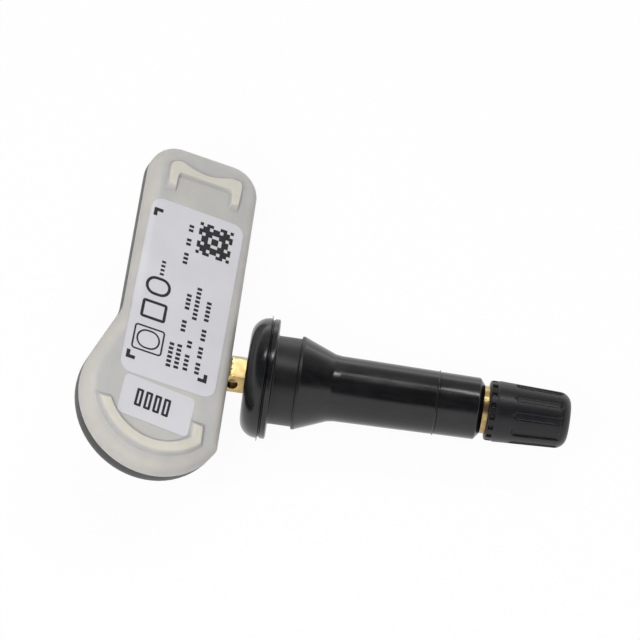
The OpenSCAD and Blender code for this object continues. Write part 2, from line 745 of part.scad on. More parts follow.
// Rubber: domed flange with its mould fin, shoulder, rim groove, bulge, cone, slim stem and its coned end
module stem_rubber() {
    dome_n = 6;
    fin_h = 0.45;
    fin_w = 0.12;
    fin_x = -flange_t + flange_round + 0.1;
    step = 0.08;
    dent = 0.35;
    edge = 0.35;
    corner = 0.25;
    bulge_w = 0.4;
    rim_r = flange_d / 2;
    seat_r = seat_d / 2;
    root_r = stem_root_d / 2;
    tip_r = stem_tip_d / 2;
    cone_end = seat_w + cone_l;
    end_cone_x = rubber_end_x - end_cone_l;
    end_edge = [0.15, 0.1];
    end_lip = 0.1;
    ridge_r = root_r + (tip_r - root_r) * (ridge_x - cone_end) / (end_cone_x - cone_end);
    ridge_w = 0.14;
    dome = [for (i = [0 : dome_n]) let(a = 90 * i / dome_n)
        [-flange_t + flange_round * (1 - cos(a)), rim_r - flange_round * (1 - sin(a))]];
    fin = [[fin_x, rim_r + fin_h], [fin_x + fin_w, rim_r + fin_h], [fin_x + fin_w + step, rim_r - step],
        [fin_x + fin_w + 3 * step, rim_r - dent], [fin_x + fin_w + 5 * step, rim_r - step]];
    seat = [[-edge, rim_r], [0, rim_r - edge], [0, seat_r + corner], [corner, seat_r],
        [seat_w - step, seat_r],
        [seat_w, bulge_d / 2], [seat_w + bulge_w, bulge_d / 2]];
    stem = [[cone_end - bulge_w, root_r + corner], [cone_end + bulge_w, root_r],
        [ridge_x - ridge_w, ridge_r], [ridge_x - ridge_w / 2, ridge_r + ridge_h],
        [ridge_x + ridge_w / 2, ridge_r + ridge_h], [ridge_x + ridge_w, ridge_r - step],
        [end_cone_x - end_edge.x, tip_r], [end_cone_x + end_edge.y, tip_r - end_edge.y],
        [rubber_end_x, thread_d / 2 + end_lip]];
    bore = [for (i = [len(insert_profile) - 1 : -1 : 0]) insert_profile[i]];
    color([0.1, 0.1, 0.11]) turned(concat(dome, fin, seat, stem, bore));
}

module attachment_screw() {
    head_edge = 0.4;
    socket_d = 1.9;
    socket_depth = 1.1;
    lobe_d = 0.6;
    lobe_at = 0.95;
    head_end = head_x + screw_head_t;
    color([0.7, 0.7, 0.72]) difference() {
        union() {
            rod(-head_x - sink, -foot_end_x + screw_grip, screw_d);
            turned([[-head_end, 0], [-head_end, screw_head_d / 2 - head_edge],
                [-head_end + head_edge, screw_head_d / 2], [-head_x, screw_head_d / 2], [-head_x, 0]], 64);
        }
        for (i = [0 : 5]) rotate([60 * i, 0, 0]) translate([-head_end - over, lobe_at, 0])
            rotate([0, 90, 0]) cylinder(h = socket_depth + over, d = lobe_d, $fn = 24);
        rod(-head_end - over, -head_end + socket_depth, socket_d);
    }
}

// Valve core
bore_d = 1.96;
bore_floor = 0.8;
bore_roof = 1.0;
core_edge = 0.3;

module core_body() {
    tang_w = 1.6;
    tang_l = 3.0;
    color([0.8, 0.62, 0.3]) difference() {
        turned([[core_top_x, 0], [core_top_x, core_thread_d / 2 - core_edge],
            [core_top_x - core_edge, core_thread_d / 2],
            [core_head_end + core_edge, core_thread_d / 2], [core_head_end, core_thread_d / 2 - core_edge],
            [core_head_end, barrel_d / 2], [core_seat_x, barrel_d / 2], [core_seat_x, 0]], 64);
        rod(core_seat_x - over, core_top_x + over, pin_d + 2 * run_fit, 32);
        rod(core_seat_x + bore_floor, core_head_end - bore_roof, bore_d, 48);
        for (s = [-1, 1])
            translate([core_top_x - tang_l, s * tang_w / 2 - (1 - s) / 2 * core_thread_d, -core_thread_d])
            cube([tang_l + over, core_thread_d, 2 * core_thread_d]);
    }
}

// Tapered seal ring between the core's barrel and the seat in the stem
module core_gasket() {
    x0 = seat_narrow_x + 0.35;
    x1 = seat_wide_x - 0.15;
    rise = (seat_wide_d - seat_narrow_d) / 2 / (seat_wide_x - seat_narrow_x);
    r0 = seat_narrow_d / 2 + rise * (x0 - seat_narrow_x) - sink;
    color([0.8, 0.15, 0.1])
        turned([[x0, barrel_d / 2], [x1, barrel_d / 2], [x1, r0 + rise * (x1 - x0)], [x0, r0]], 64);
}

pin_top_x = tip_x - 0.15;
plug_x1 = core_seat_x - sink;
plug_x0 = plug_x1 - plug_l;
stop_x = core_head_end - bore_roof - 0.6;
stop_d = pin_d + 0.7;

module core_pin() {
    pin_edge = 0.15;
    color([0.75, 0.75, 0.76]) {
        turned([[plug_x0 - washer_t, 0], [plug_x0 - washer_t, pin_d / 2], [pin_top_x - pin_edge, pin_d / 2],
            [pin_top_x, pin_d / 2 - pin_edge], [pin_top_x, 0]], 32);
        rod(stop_x - washer_t, stop_x, stop_d, 32);
        rod(plug_x0 - washer_t, plug_x0, stop_d, 32);
    }
}

module core_plug() {
    plug_d = barrel_d - 2 * ease;
    nose = 0.4;
    color([0.15, 0.15, 0.16]) difference() {
        turned([[plug_x0, 0], [plug_x0, plug_d / 2 - nose], [plug_x0 + nose, plug_d / 2],
            [plug_x1, plug_d / 2], [plug_x1, 0]], 48);
        rod(plug_x0 - over, plug_x1 + over, pin_d, 32);
    }
}

// Coil spring in the core's bore, between the bore's floor and the pin's stop
module core_spring() {
    per_turn = 12;
    sides = 6;
    coil_r = (bore_d / 2 + pin_d / 2) / 2;
    x0 = core_seat_x + bore_floor + wire_d / 2 + sink;
    x1 = stop_x - washer_t - wire_d / 2 - sink;
    total = spring_turns * per_turn;
    rings = [for (i = [0 : total]) let(a = 360 * i / per_turn, x = x0 + (x1 - x0) * i / total)
        [for (j = [0 : sides - 1]) let(b = 360 * j / sides, r = coil_r + wire_d / 2 * cos(b))
            [x - wire_d / 2 * sin(b), r * cos(a), r * sin(a)]]];
    color([0.7, 0.7, 0.72])
        skin(rings, [[[x0, coil_r, 0], all_of(sides)]], [[[x1, coil_r, 0], all_of(sides)]]);
}

// Cap
module cap_seal() {
    hole_d = 2.6;
    color([0.2, 0.2, 0.22]) turned([[washer_x, hole_d / 2], [washer_x + washer_w, hole_d / 2],
        [washer_x + washer_w, thread_d / 2 - ease], [washer_x, thread_d / 2 - ease]], 64);
}

// A round-ended flute between two stations, cut to its depth in a conical wall
module flute(x0, x1, r0, r1) {
    r = (flute_w * flute_w / 4 + flute_depth * flute_depth) / (2 * flute_depth);
    translate([x0, r0 + r - flute_depth, 0]) rotate([0, 0, -atan2(r0 - r1, x1 - x0)]) {
        rotate([0, 90, 0]) cylinder(h = norm([x1 - x0, r0 - r1]), r = r, $fn = 48);
        sphere(r = r, $fn = 48);
    }
}

module valve_cap() {
    collar_l = 1.35;
    collar_step = 0.1;
    lead_in = 0.35;
    band_l = 2.6;
    notch = [0.7, 0.9, 0.75];
    dome_n = 6;
    open_r = cap_open_d / 2;
    far_r = cap_far_d / 2;
    flute_x0 = cap_x + collar_l + band_l;
    flute_x1 = cap_end_x - 0.75 * cap_round;
    fall = (open_r - far_r) / (cap_l - collar_l - cap_round);
    dome = [for (i = [0 : dome_n]) let(a = 90 * i / dome_n)
        [cap_end_x - cap_round * (1 - sin(a)), far_r - cap_round * (1 - cos(a))]];
    color([0.16, 0.16, 0.18]) difference() {
        turned(concat([[cap_x, 0], [cap_x, open_r - lead_in - collar_step],
            [cap_x + lead_in, open_r - collar_step],
            [cap_x + collar_l, open_r - collar_step], [cap_x + collar_l + collar_step, open_r]],
            dome, [[cap_end_x, 0]]));
        rod(cap_x - over, cap_bore_end, thread_d + 2 * run_fit);
        for (i = [0 : notch_n - 1]) rotate([notch_turn + 360 * i / notch_n, 0, 0])
            translate([cap_x + notch.x, open_r, 0]) cube(notch, center = true);
        for (i = [0 : flute_n - 1]) rotate([flute_turn + 360 * i / flute_n, 0, 0])
            flute(flute_x0, flute_x1, open_r - fall * band_l, open_r - fall * (flute_x1 - cap_x - collar_l));
    }
}

base_housing();
lid();
spec_label();
number_label();
circuit_board();
coin_cell();
battery_tab_positive();
battery_tab_negative();
sensor_chip();
port_seal();
lf_coil_core();
lf_coil_winding();
crystal();
rf_antenna();
chip_components();
stem_insert();
stem_rubber();
attachment_screw();
core_body();
core_gasket();
core_pin();
core_plug();
core_spring();
valve_cap();
cap_seal();
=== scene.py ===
"""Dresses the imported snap-in tyre pressure sensor: smooth mouldings, label film, threads, finishes and studio.

All sizes are in millimetres in the code and turned to metres when a mesh is written. The row frame has X along
the valve stem, Y along the housing and Z up. The housing has its own flat frame, which leans about Y.
"""
import logging
import math
from dataclasses import dataclass, field
from enum import Enum

import bmesh
import bpy
import numpy as np
from bpy.types import Material, Node, NodeTree, Object
from mathutils import Matrix, Vector


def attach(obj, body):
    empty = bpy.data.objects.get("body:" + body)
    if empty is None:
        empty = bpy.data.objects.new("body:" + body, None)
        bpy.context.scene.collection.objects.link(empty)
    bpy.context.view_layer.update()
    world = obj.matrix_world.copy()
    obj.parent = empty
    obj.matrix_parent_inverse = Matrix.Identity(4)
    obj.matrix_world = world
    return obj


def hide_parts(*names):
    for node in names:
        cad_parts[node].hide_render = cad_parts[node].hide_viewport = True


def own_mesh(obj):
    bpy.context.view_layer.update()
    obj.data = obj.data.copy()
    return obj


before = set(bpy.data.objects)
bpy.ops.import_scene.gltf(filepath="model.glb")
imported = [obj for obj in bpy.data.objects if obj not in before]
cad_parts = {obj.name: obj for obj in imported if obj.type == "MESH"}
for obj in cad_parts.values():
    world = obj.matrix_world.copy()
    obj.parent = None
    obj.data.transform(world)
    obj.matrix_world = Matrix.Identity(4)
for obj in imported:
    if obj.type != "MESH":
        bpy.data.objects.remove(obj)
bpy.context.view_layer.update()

LOG = logging.getLogger("sensor_scene")
MM = 0.001
LEAN = math.radians(20.0)
WELD_MM = 0.0008
VALUES = "wall_depth"
PRINCIPLED = "Principled BSDF"


# Colour and node helpers


def linear(hex_code: str) -> tuple[float, float, float, float]:
    """Turns an sRGB hex colour into linear light.

    Args:
        hex_code: six hex digits, such as "D2D0D4".

    Returns:
        Red, green, blue and alpha in linear light.
    """
    parts = [int(hex_code[i:i + 2], 16) / 255.0 for i in (0, 2, 4)]
    return tuple(p / 12.92 if p <= 0.04045 else ((p + 0.055) / 1.055) ** 2.4 for p in parts) + (1.0,)


def add_node(tree: NodeTree, kind: str | Node, settings: dict | None = None, links: dict | None = None) -> Node:
    """Adds one shader node with its settings and its incoming links.

    Args:
        tree: the node tree that takes the node.
        kind: the node's class name in Blender without ShaderNode, or a node that the tree has already.
        settings: attribute or input names with their values, and under "stops" a ramp's places with hex colours
            or greys.
        links: input names with the socket that feeds each, or with a node whose first output does.

    Returns:
        The node.
    """
    node = tree.nodes.new("ShaderNode" + kind) if isinstance(kind, str) else kind
    for key, value in (settings or {}).items():
        if key == "stops":
            while len(node.color_ramp.elements) < len(value):
                node.color_ramp.elements.new(0.5)
            for element, (where, tone) in zip(node.color_ramp.elements, value):
                element.position = where
                element.color = linear(tone) if isinstance(tone, str) else (tone, tone, tone, 1.0)
        elif isinstance(key, str) and hasattr(node, key) and key not in node.inputs:
            setattr(node, key, value)
        else:
            node.inputs[key].default_value = value
    for key, feed in (links or {}).items():
        tree.links.new(feed.outputs[0] if isinstance(feed, Node) else feed, node.inputs[key])
    return node


def object_points(tree: NodeTree, stretch: tuple[float, float, float] = (1.0, 1.0, 1.0)) -> Node:
    """Reads Object coordinates in millimetres, stretched.

    Args:
        tree: the node tree.
        stretch: factors along the three axes.

    Returns:
        The node that gives them.
    """
    where = add_node(tree, "TexCoord").outputs["Object"]
    return add_node(tree, "Mapping", {"Scale": tuple(1000.0 * s for s in stretch)}, {"Vector": where})


def start_material(name: str) -> tuple[Material, NodeTree, Node]:
    """Makes a material with a bare Principled shader.

    Args:
        name: the finish's name.

    Returns:
        The material, its node tree and its Object coordinates in millimetres.
    """
    material = bpy.data.materials.new(name)
    material.use_nodes = True
    return material, material.node_tree, object_points(material.node_tree)


def end_material(tree: NodeTree, settings: dict, links: dict, skin: Node, depth_mm: float, strength: float) -> None:
    """Sets the Principled shader and bumps its normal with a skin.

    Args:
        tree: the node tree.
        settings: input names with their values.
        links: input names with what feeds each.
        skin: the node whose first output is the height, between 0 and 1.
        depth_mm: the real depth that 1 stands for.
        strength: share of that depth that shows.
    """
    bump = add_node(tree, "Bump", {"Strength": strength, "Distance": depth_mm * MM}, {"Height": skin})
    add_node(tree, tree.nodes[PRINCIPLED], settings, {**links, "Normal": bump})


# Finishes


@dataclass(frozen=True)
class MouldedNylon:
    """Natural nylon, injection moulded: milky, satin and a little see-through, so that thin places over the dark
    base read cool and grey while thick edges and ribs read warm and light.
    The lighter edge and rib tones are partly that thickness and partly painted highlight for the light that rounded
    edges and rib slopes catch."""

    name: str = "natural_nylon_moulded"
    edge: str = "CBC7C1"
    land: str = "BFBEBC"
    floor: str = "CBC8C0"
    rib: str = "DCD7CA"

    def material(self) -> Material:
        """Returns the material. The attribute wall_depth gives the distance from the moulding's edge in
        millimetres, and a negative value marks a rib."""
        material, tree, points = start_material(self.name)
        depth = add_node(tree, "Attribute", {"attribute_name": VALUES}).outputs["Fac"]
        share = add_node(tree, "MapRange", {"From Min": -1.0, "From Max": 7.0}, {"Value": depth})
        # Edge and rib tones are partly painted highlight: lighter than the land for the nylon's thickness and for
        # the light that rounded edges and rib slopes catch
        stops = [(0.0, self.rib), (0.115, self.edge), (0.25, self.edge), (0.42, self.land), (0.62, self.land),
                 (0.80, self.floor)]
        tone = add_node(tree, "ValToRGB", {"stops": stops}, {"Fac": share})
        cloud = add_node(tree, "TexNoise", {"Scale": 0.16, "Detail": 3.0, "Roughness": 0.6}, {"Vector": points})
        veil = add_node(tree, "ValToRGB", {"stops": [(0.3, "F1F2F3"), (0.7, "FFFFFF")]}, {"Fac": cloud})
        mixed = add_node(tree, "Mix", {"data_type": "RGBA", "blend_type": "MULTIPLY", 0: 1.0}, {6: tone, 7: veil})
        # Fine spark-eroded mould skin, about 0.25 mm across so that it shows at all
        skin = add_node(tree, "TexNoise", {"Scale": 4.0, "Detail": 3.0, "Roughness": 0.55}, {"Vector": points})
        end_material(tree, {"Roughness": 0.42, "IOR": 1.53, "Subsurface Weight": 0.22,
                            "Subsurface Radius": (1.0, 0.9, 0.75), "Subsurface Scale": 1.2 * MM},
                     {"Base Color": mixed.outputs[2]}, skin, 0.012, 0.5)
        return material


@dataclass(frozen=True)
class DarkMoulding:
    """Black plastic, injection moulded: a dark grey satin skin whose fine grain softens every highlight."""

    name: str = "black_nylon_moulded"
    dark: str = "2A2A2C"
    light: str = "343437"
    roughness: float = 0.42
    grain_mm: float = 0.25
    grain_depth: float = 0.01
    specular: float = 0.5

    def material(self) -> Material:
        """Returns the material."""
        material, tree, points = start_material(self.name)
        cloud = add_node(tree, "TexNoise", {"Scale": 0.35, "Detail": 4.0, "Roughness": 0.6}, {"Vector": points})
        tone = add_node(tree, "ValToRGB", {"stops": [(0.3, self.dark), (0.7, self.light)]}, {"Fac": cloud})
        stops = [(0.25, self.roughness - 0.05), (0.75, self.roughness + 0.06)]
        gloss = add_node(tree, "ValToRGB", {"stops": stops}, {"Fac": cloud})
        skin = add_node(tree, "TexNoise", {"Scale": 1.0 / self.grain_mm, "Detail": 3.0}, {"Vector": points})
        end_material(tree, {"IOR": 1.5, "Specular IOR Level": self.specular},
                     {"Base Color": tone, "Roughness": gloss}, skin, self.grain_depth, 0.6)
        return material


@dataclass(frozen=True)
class MouldedRubber:
    """Black rubber, compression moulded: a dark glossy skin with faint flow streaks along the stem and a soft pale
    bloom. The seat groove is matt, so it shows no sharp highlight."""

    name: str = "black_rubber_moulded"
    dark: str = "0B0B0D"
    bloom: str = "17181B"
    roughness: float = 0.2
    specular: float = 0.5
    matt: float = 0.2

    def material(self) -> Material:
        """Returns the material."""
        material, tree, points = start_material(self.name)
        cloud = add_node(tree, "TexNoise", {"Scale": 0.22, "Detail": 5.0, "Roughness": 0.65}, {"Vector": points})
        streak = add_node(tree, "TexNoise", {"Scale": 1.3, "Detail": 2.0},
                          {"Vector": object_points(tree, (0.12, 1.0, 1.0))})
        both = add_node(tree, "Math", {"operation": "MULTIPLY"}, {0: cloud, 1: streak})
        tone = add_node(tree, "ValToRGB", {"stops": [(0.16, self.dark), (0.42, self.bloom)]}, {"Fac": both})
        stops = [(0.15, self.roughness - 0.03), (0.4, self.roughness + 0.06)]
        gloss = add_node(tree, "ValToRGB", {"stops": stops}, {"Fac": both})
        # The seat groove lies between 0 and 4.4 mm along the stem, here as shares of the run from -1 to 6 mm
        along = add_node(tree, "SeparateXYZ", links={0: points}).outputs["X"]
        run = add_node(tree, "MapRange", {"From Min": -1.0, "From Max": 6.0}, {"Value": along})
        stops = [(0.13, 0.0), (0.16, 1.0), (0.76, 1.0), (0.79, 0.0)]
        seat = add_node(tree, "ValToRGB", {"stops": stops}, {"Fac": run})
        rough = add_node(tree, "Math", {"operation": "MULTIPLY_ADD", 1: self.matt}, {0: seat, 2: gloss})
        skin = add_node(tree, "TexNoise", {"Scale": 5.0, "Detail": 4.0, "Roughness": 0.6}, {"Vector": points})
        end_material(tree, {"IOR": 1.52, "Specular IOR Level": self.specular},
                     {"Base Color": tone, "Roughness": rough}, skin, 0.004, 0.4)
        return material


@dataclass(frozen=True)
class TurnedMetal:
    """Bright metal, drawn and turned: fine tool lines round the stem's axis stretch its highlights, and light
    tarnish gives it clouds."""

    name: str = "brass_turned"
    bright: str = "CFB57E"
    tarnish: str = "8C7046"
    roughness: float = 0.24
    line_mm: float = 0.12

    def material(self) -> Material:
        """Returns the material."""
        material, tree, points = start_material(self.name)
        cloud = add_node(tree, "TexNoise", {"Scale": 0.5, "Detail": 4.0, "Roughness": 0.6}, {"Vector": points})
        tone = add_node(tree, "ValToRGB", {"stops": [(0.35, self.bright), (0.75, self.tarnish)]}, {"Fac": cloud})
        stops = [(0.3, self.roughness), (0.8, self.roughness + 0.14)]
        gloss = add_node(tree, "ValToRGB", {"stops": stops}, {"Fac": cloud})
        lines = add_node(tree, "TexNoise", {"Scale": 1.0 / self.line_mm, "Detail": 2.0},
                         {"Vector": object_points(tree, (1.0, 0.08, 0.08))})
        end_material(tree, {"Metallic": 1.0}, {"Base Color": tone, "Roughness": gloss}, lines, 0.004, 0.5)
        return material


@dataclass(frozen=True)
class LabelFilm:
    """White polymer film, printed: an even, slightly cool white with a soft sheen and hardly any texture."""

    name: str = "white_film_printed"
    face: str = "D6D5DA"
    shade: str = "CFCED4"
    roughness: float = 0.38

    def material(self) -> Material:
        """Returns the material."""
        material, tree, points = start_material(self.name)
        cloud = add_node(tree, "TexNoise", {"Scale": 0.12, "Detail": 3.0}, {"Vector": points})
        tone = add_node(tree, "ValToRGB", {"stops": [(0.3, self.shade), (0.7, self.face)]}, {"Fac": cloud})
        orange_peel = add_node(tree, "TexNoise", {"Scale": 0.7, "Detail": 1.0}, {"Vector": points})
        end_material(tree, {"Roughness": self.roughness, "IOR": 1.5}, {"Base Color": tone}, orange_peel, 0.01, 0.25)
        return material


@dataclass(frozen=True)
class ThermalInk:
    """Black resin ink, thermally transferred: near black, dull, with edges a little starved of ink."""

    name: str = "black_ink_transferred"
    full: str = "111013"
    starved: str = "1F1E21"

    def material(self) -> Material:
        """Returns the material."""
        material, tree, points = start_material(self.name)
        cloud = add_node(tree, "TexNoise", {"Scale": 2.5, "Detail": 3.0}, {"Vector": points})
        tone = add_node(tree, "ValToRGB", {"stops": [(0.35, self.full), (0.7, self.starved)]}, {"Fac": cloud})
        add_node(tree, tree.nodes[PRINCIPLED], {"Roughness": 0.55}, {"Base Color": tone})
        return material


@dataclass(frozen=True)
class SpeckledSolid:
    """A made solid with a fine two-tone speckle, such as laminate, ferrite, ceramic or enamelled wire."""

    name: str
    ground: str
    fleck: str
    fleck_mm: float
    roughness: float
    metallic: float = 0.0
    stretch: tuple[float, float, float] = (1.0, 1.0, 1.0)
    depth_mm: float = 0.01

    def material(self) -> Material:
        """Returns the material."""
        material, tree, _ = start_material(self.name)
        speck = add_node(tree, "TexNoise", {"Scale": 1.0 / self.fleck_mm, "Detail": 3.0},
                         {"Vector": object_points(tree, self.stretch)})
        tone = add_node(tree, "ValToRGB", {"stops": [(0.35, self.ground), (0.68, self.fleck)]}, {"Fac": speck})
        stops = [(0.3, self.roughness), (0.7, min(1.0, self.roughness + 0.12))]
        gloss = add_node(tree, "ValToRGB", {"stops": stops}, {"Fac": speck})
        end_material(tree, {"Metallic": self.metallic}, {"Base Color": tone, "Roughness": gloss}, speck,
                     self.depth_mm, 0.5)
        return material


# Surfaces


@dataclass
class Patch:
    """A stretch of surface: vertices in millimetres with triangles and quads, and one value per vertex."""

    verts: np.ndarray
    quads: np.ndarray = field(default_factory=lambda: np.zeros((0, 4), int))
    tris: np.ndarray = field(default_factory=lambda: np.zeros((0, 3), int))
    values: np.ndarray | None = None

    def turned_over(self) -> "Patch":
        """Returns the patch with its faces the other way round."""
        return Patch(self.verts, self.quads[:, ::-1], self.tris[:, ::-1], self.values)

    def volume(self) -> float:
        """Returns six times the signed volume under the faces, which is positive when they point outwards."""
        halves = [self.tris, self.quads[:, [0, 1, 2]], self.quads[:, [0, 2, 3]]]
        corners = self.verts[np.concatenate(halves)] - self.verts.mean(axis=0)
        return float(np.einsum("ij,ij->", corners[:, 0], np.cross(corners[:, 1], corners[:, 2])))

    def outward(self) -> "Patch":
        """Returns the patch with the faces of a closed form pointing outwards."""
        return self if self.volume() > 0 else self.turned_over()


def joined(patches: list[Patch]) -> Patch:
    """Puts patches into one.

    Args:
        patches: the patches in order.

    Returns:
        One patch with all their vertices, faces and values.
    """
    starts = np.cumsum([0] + [len(p.verts) for p in patches[:-1]])
    return Patch(
        np.concatenate([p.verts for p in patches]),
        np.concatenate([p.quads + s for p, s in zip(patches, starts)]),
        np.concatenate([p.tris + s for p, s in zip(patches, starts)]),
        np.concatenate([np.zeros(len(p.verts)) if p.values is None else p.values for p in patches]))


def grid(points: np.ndarray, wrap: bool = False, values: np.ndarray | None = None) -> Patch:
    """Joins a grid of points with quads.

    Args:
        points: array of rows by columns by 3.
        wrap: whether the last column joins the first.
        values: array of rows by columns, or None.

    Returns:
        The patch. Point (i, j) joins (i+1, j), (i+1, j+1) and (i, j+1).
    """
    rows, cols = points.shape[:2]
    i, j = np.meshgrid(np.arange(rows - 1), np.arange(cols if wrap else cols - 1), indexing="ij")
    nxt = (j + 1) % cols
    quads = np.stack([i * cols + j, i * cols + nxt, (i + 1) * cols + nxt, (i + 1) * cols + j], axis=-1)
    return Patch(points.reshape(-1, 3), quads.reshape(-1, 4), values=None if values is None else values.ravel())


def fan(ring: np.ndarray, centre: np.ndarray, rim_value: float = 0.0, centre_value: float = 0.0) -> Patch:
    """Closes a ring with triangles to a centre point.

    Args:
        ring: array of n by 3.
        centre: the centre point.
        rim_value: value at the ring.
        centre_value: value at the centre.

    Returns:
        The patch.
    """
    n = len(ring)
    k = np.arange(n)
    tris = np.stack([np.full(n, n), k, (k + 1) % n], axis=-1)
    return Patch(np.vstack([ring, centre]), tris=tris, values=np.append(np.full(n, rim_value), centre_value))


def in_housing(points: np.ndarray) -> np.ndarray:
    """Turns points of the housing's flat frame into the row frame: a turn about Y by the lean.

    Args:
        points: array whose last axis is x, y, z.

    Returns:
        The turned array.
    """
    x, y, z = points[..., 0], points[..., 1], points[..., 2]
    return np.stack([math.cos(LEAN) * x + math.sin(LEAN) * z, y, -math.sin(LEAN) * x + math.cos(LEAN) * z], -1)


def arc_points(centre: tuple[float, float], radius: float, start: float, end: float, count: int) -> np.ndarray:
    """Returns points of an arc: centre plus radius times cosine and sine of an even run of angles.

    Args:
        centre: the arc's centre.
        radius: its radius.
        start: first angle in degrees.
        end: last angle in degrees.
        count: how many points.

    Returns:
        Array of count by 2.
    """
    a = np.radians(np.linspace(start, end, count))
    return np.stack([centre[0] + radius * np.cos(a), centre[1] + radius * np.sin(a)], -1)


def run_points(start: np.ndarray, end: np.ndarray, count: int) -> np.ndarray:
    """Returns count points evenly between two points, without the ends."""
    t = np.linspace(0.0, 1.0, count + 2)[1:-1, None]
    return start + (end - start) * t


def filleted(corners: list[tuple[float, float, float]], pieces: int = 6) -> np.ndarray:
    """Rounds the corners of a line: each corner with a radius becomes an arc that touches both its sides.

    Args:
        corners: x, y and fillet radius of each corner; the ends stay sharp.
        pieces: pieces in each arc.

    Returns:
        Array of points along the rounded line.
    """
    line = [np.array(corners[0][:2])]
    for before, here, after in zip(corners, corners[1:], corners[2:]):
        p, a, b = np.array(here[:2]), np.array(before[:2]), np.array(after[:2])
        u, v = (a - p) / np.linalg.norm(a - p), (b - p) / np.linalg.norm(b - p)
        half = 0.5 * math.acos(float(np.clip(u @ v, -1.0, 1.0)))
        if here[2] <= 0 or half > math.radians(89.5):
            line.append(p)
            continue
        reach = min(here[2] / math.tan(half), 0.49 * np.linalg.norm(a - p), 0.49 * np.linalg.norm(b - p))
        radius = reach * math.tan(half)
        centre = p + (u + v) / np.linalg.norm(u + v) * radius / math.sin(half)
        first, last = p + u * reach - centre, p + v * reach - centre
        t = np.linspace(0.0, 1.0, pieces + 1)[:, None]
        turn = math.acos(float(np.clip(first @ last / radius ** 2, -1.0, 1.0)))
        swing = (np.sin((1 - t) * turn) * first + np.sin(t * turn) * last) / math.sin(turn)
        line.extend(centre + swing)
    line.append(np.array(corners[-1][:2]))
    return np.array(line)


def slab(top: np.ndarray, low: np.ndarray, values: np.ndarray | None = None, low_value: float = 0.0) -> Patch:
    """Closes two matching grids of points with a wall round their border.

    Args:
        top: array of rows by columns by 3.
        low: the same for the underside.
        values: values of the top, rows by columns, or None for zeros.
        low_value: value of the underside and the wall.

    Returns:
        A closed patch.
    """
    wall = np.stack([np.concatenate([g[:, 0], g[-1, 1:], g[::-1, -1][1:], g[0, ::-1][1:-1]]) for g in (low, top)])
    return joined([grid(top, values=values), grid(low, values=np.full(low.shape[:2], low_value)).turned_over(),
                   grid(wall, wrap=True, values=np.full(wall.shape[:2], low_value))])


def about_axis(x: np.ndarray, r: np.ndarray, angle: np.ndarray) -> np.ndarray:
    """Places points about the stem's axis: point (i, j) is (x_i, r_ij cos a_j, r_ij sin a_j).

    Args:
        x: distances along the axis, as a column.
        r: radii, as a column or as rows by columns.
        angle: angles in radians.

    Returns:
        Array of rows by columns by 3.
    """
    return np.stack([np.repeat(x, len(angle), 1), r * np.cos(angle), r * np.sin(angle)], -1)


def revolved(profile: np.ndarray, around: int) -> Patch:
    """Turns a profile of distance and radius, n by 2, about the stem's axis, with a number of points around."""
    a = np.linspace(0.0, 2.0 * math.pi, around, endpoint=False)
    return grid(about_axis(profile[:, :1], profile[:, 1:2], a), wrap=True)


def smoothstep(t: np.ndarray) -> np.ndarray:
    """Returns the smooth step 3t^2 - 2t^3 of t held between 0 and 1."""
    t = np.clip(t, 0.0, 1.0)
    return t * t * (3.0 - 2.0 * t)


class Body(Enum):
    """The bodies that pieces ride on."""

    SENSOR = "sensor"
    CAP = "cap"


def add_object(name: str, data: bpy.types.ID) -> Object:
    """Adds an object to the scene.

    Args:
        name: the object's name.
        data: the mesh, camera or lamp that it holds.

    Returns:
        The new object.
    """
    thing = bpy.data.objects.new(name, data)
    bpy.context.scene.collection.objects.link(thing)
    return thing


def add_piece(name: str, patch: Patch, material: Material, nodes: tuple[str, ...] = (),
              sharp: float = 32.0, body: Body = Body.SENSOR) -> Object:
    """Writes a patch as an object at the origin, in metres, and makes it ride on a body.

    Args:
        name: the object's name.
        patch: the surface in millimetres.
        material: its finish.
        nodes: the CAD nodes that it replaces.
        sharp: angle in degrees from which an edge is sharp.
        body: the body that it moves with.

    Returns:
        The new object.
    """
    mesh = bpy.data.meshes.new(name)
    loops = np.concatenate([patch.quads.ravel(), patch.tris.ravel()]).astype(np.int32)
    totals = np.concatenate([np.full(len(patch.quads), 4), np.full(len(patch.tris), 3)]).astype(np.int32)
    starts = np.concatenate([[0], np.cumsum(totals)[:-1]]).astype(np.int32)
    mesh.vertices.add(len(patch.verts))
    mesh.vertices.foreach_set("co", (patch.verts * MM).astype(np.float32).ravel())
    mesh.loops.add(len(loops))
    mesh.loops.foreach_set("vertex_index", loops)
    mesh.polygons.add(len(totals))
    mesh.polygons.foreach_set("loop_start", starts)
    mesh.polygons.foreach_set("loop_total", totals)
    if patch.values is not None:
        layer = mesh.attributes.new(VALUES, "FLOAT", "POINT")
        layer.data.foreach_set("value", patch.values.astype(np.float32))
    mesh.update(calc_edges=True)
    mesh.validate()
    work = bmesh.new()
    work.from_mesh(mesh)
    bmesh.ops.remove_doubles(work, verts=work.verts, dist=WELD_MM * MM)
    work.to_mesh(mesh)
    work.free()
    mesh.polygons.foreach_set("use_smooth", np.ones(len(mesh.polygons), bool))
    mesh.set_sharp_from_angle(angle=math.radians(sharp))
    mesh.materials.append(material)
    thing = add_object(name, mesh)
    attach(thing, body.value)
    if nodes:
        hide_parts(*nodes)
    LOG.info("%s: %d faces on %s, for %s", name, len(mesh.polygons), body.value, nodes or "itself")
    return thing


def node_patch(node: str) -> Patch:
    """Copies a CAD node's triangles, in millimetres.

    Args:
        node: the node's name.

    Returns:
        The patch.
    """
    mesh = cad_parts[node].data
    mesh.calc_loop_triangles()
    verts = np.empty(len(mesh.vertices) * 3, np.float32)
    mesh.vertices.foreach_get("co", verts)
    tris = np.empty(len(mesh.loop_triangles) * 3, np.int32)
    mesh.loop_triangles.foreach_get("vertices", tris)
    return Patch(verts.reshape(-1, 3).astype(float) / MM, tris=tris.reshape(-1, 3).astype(int))


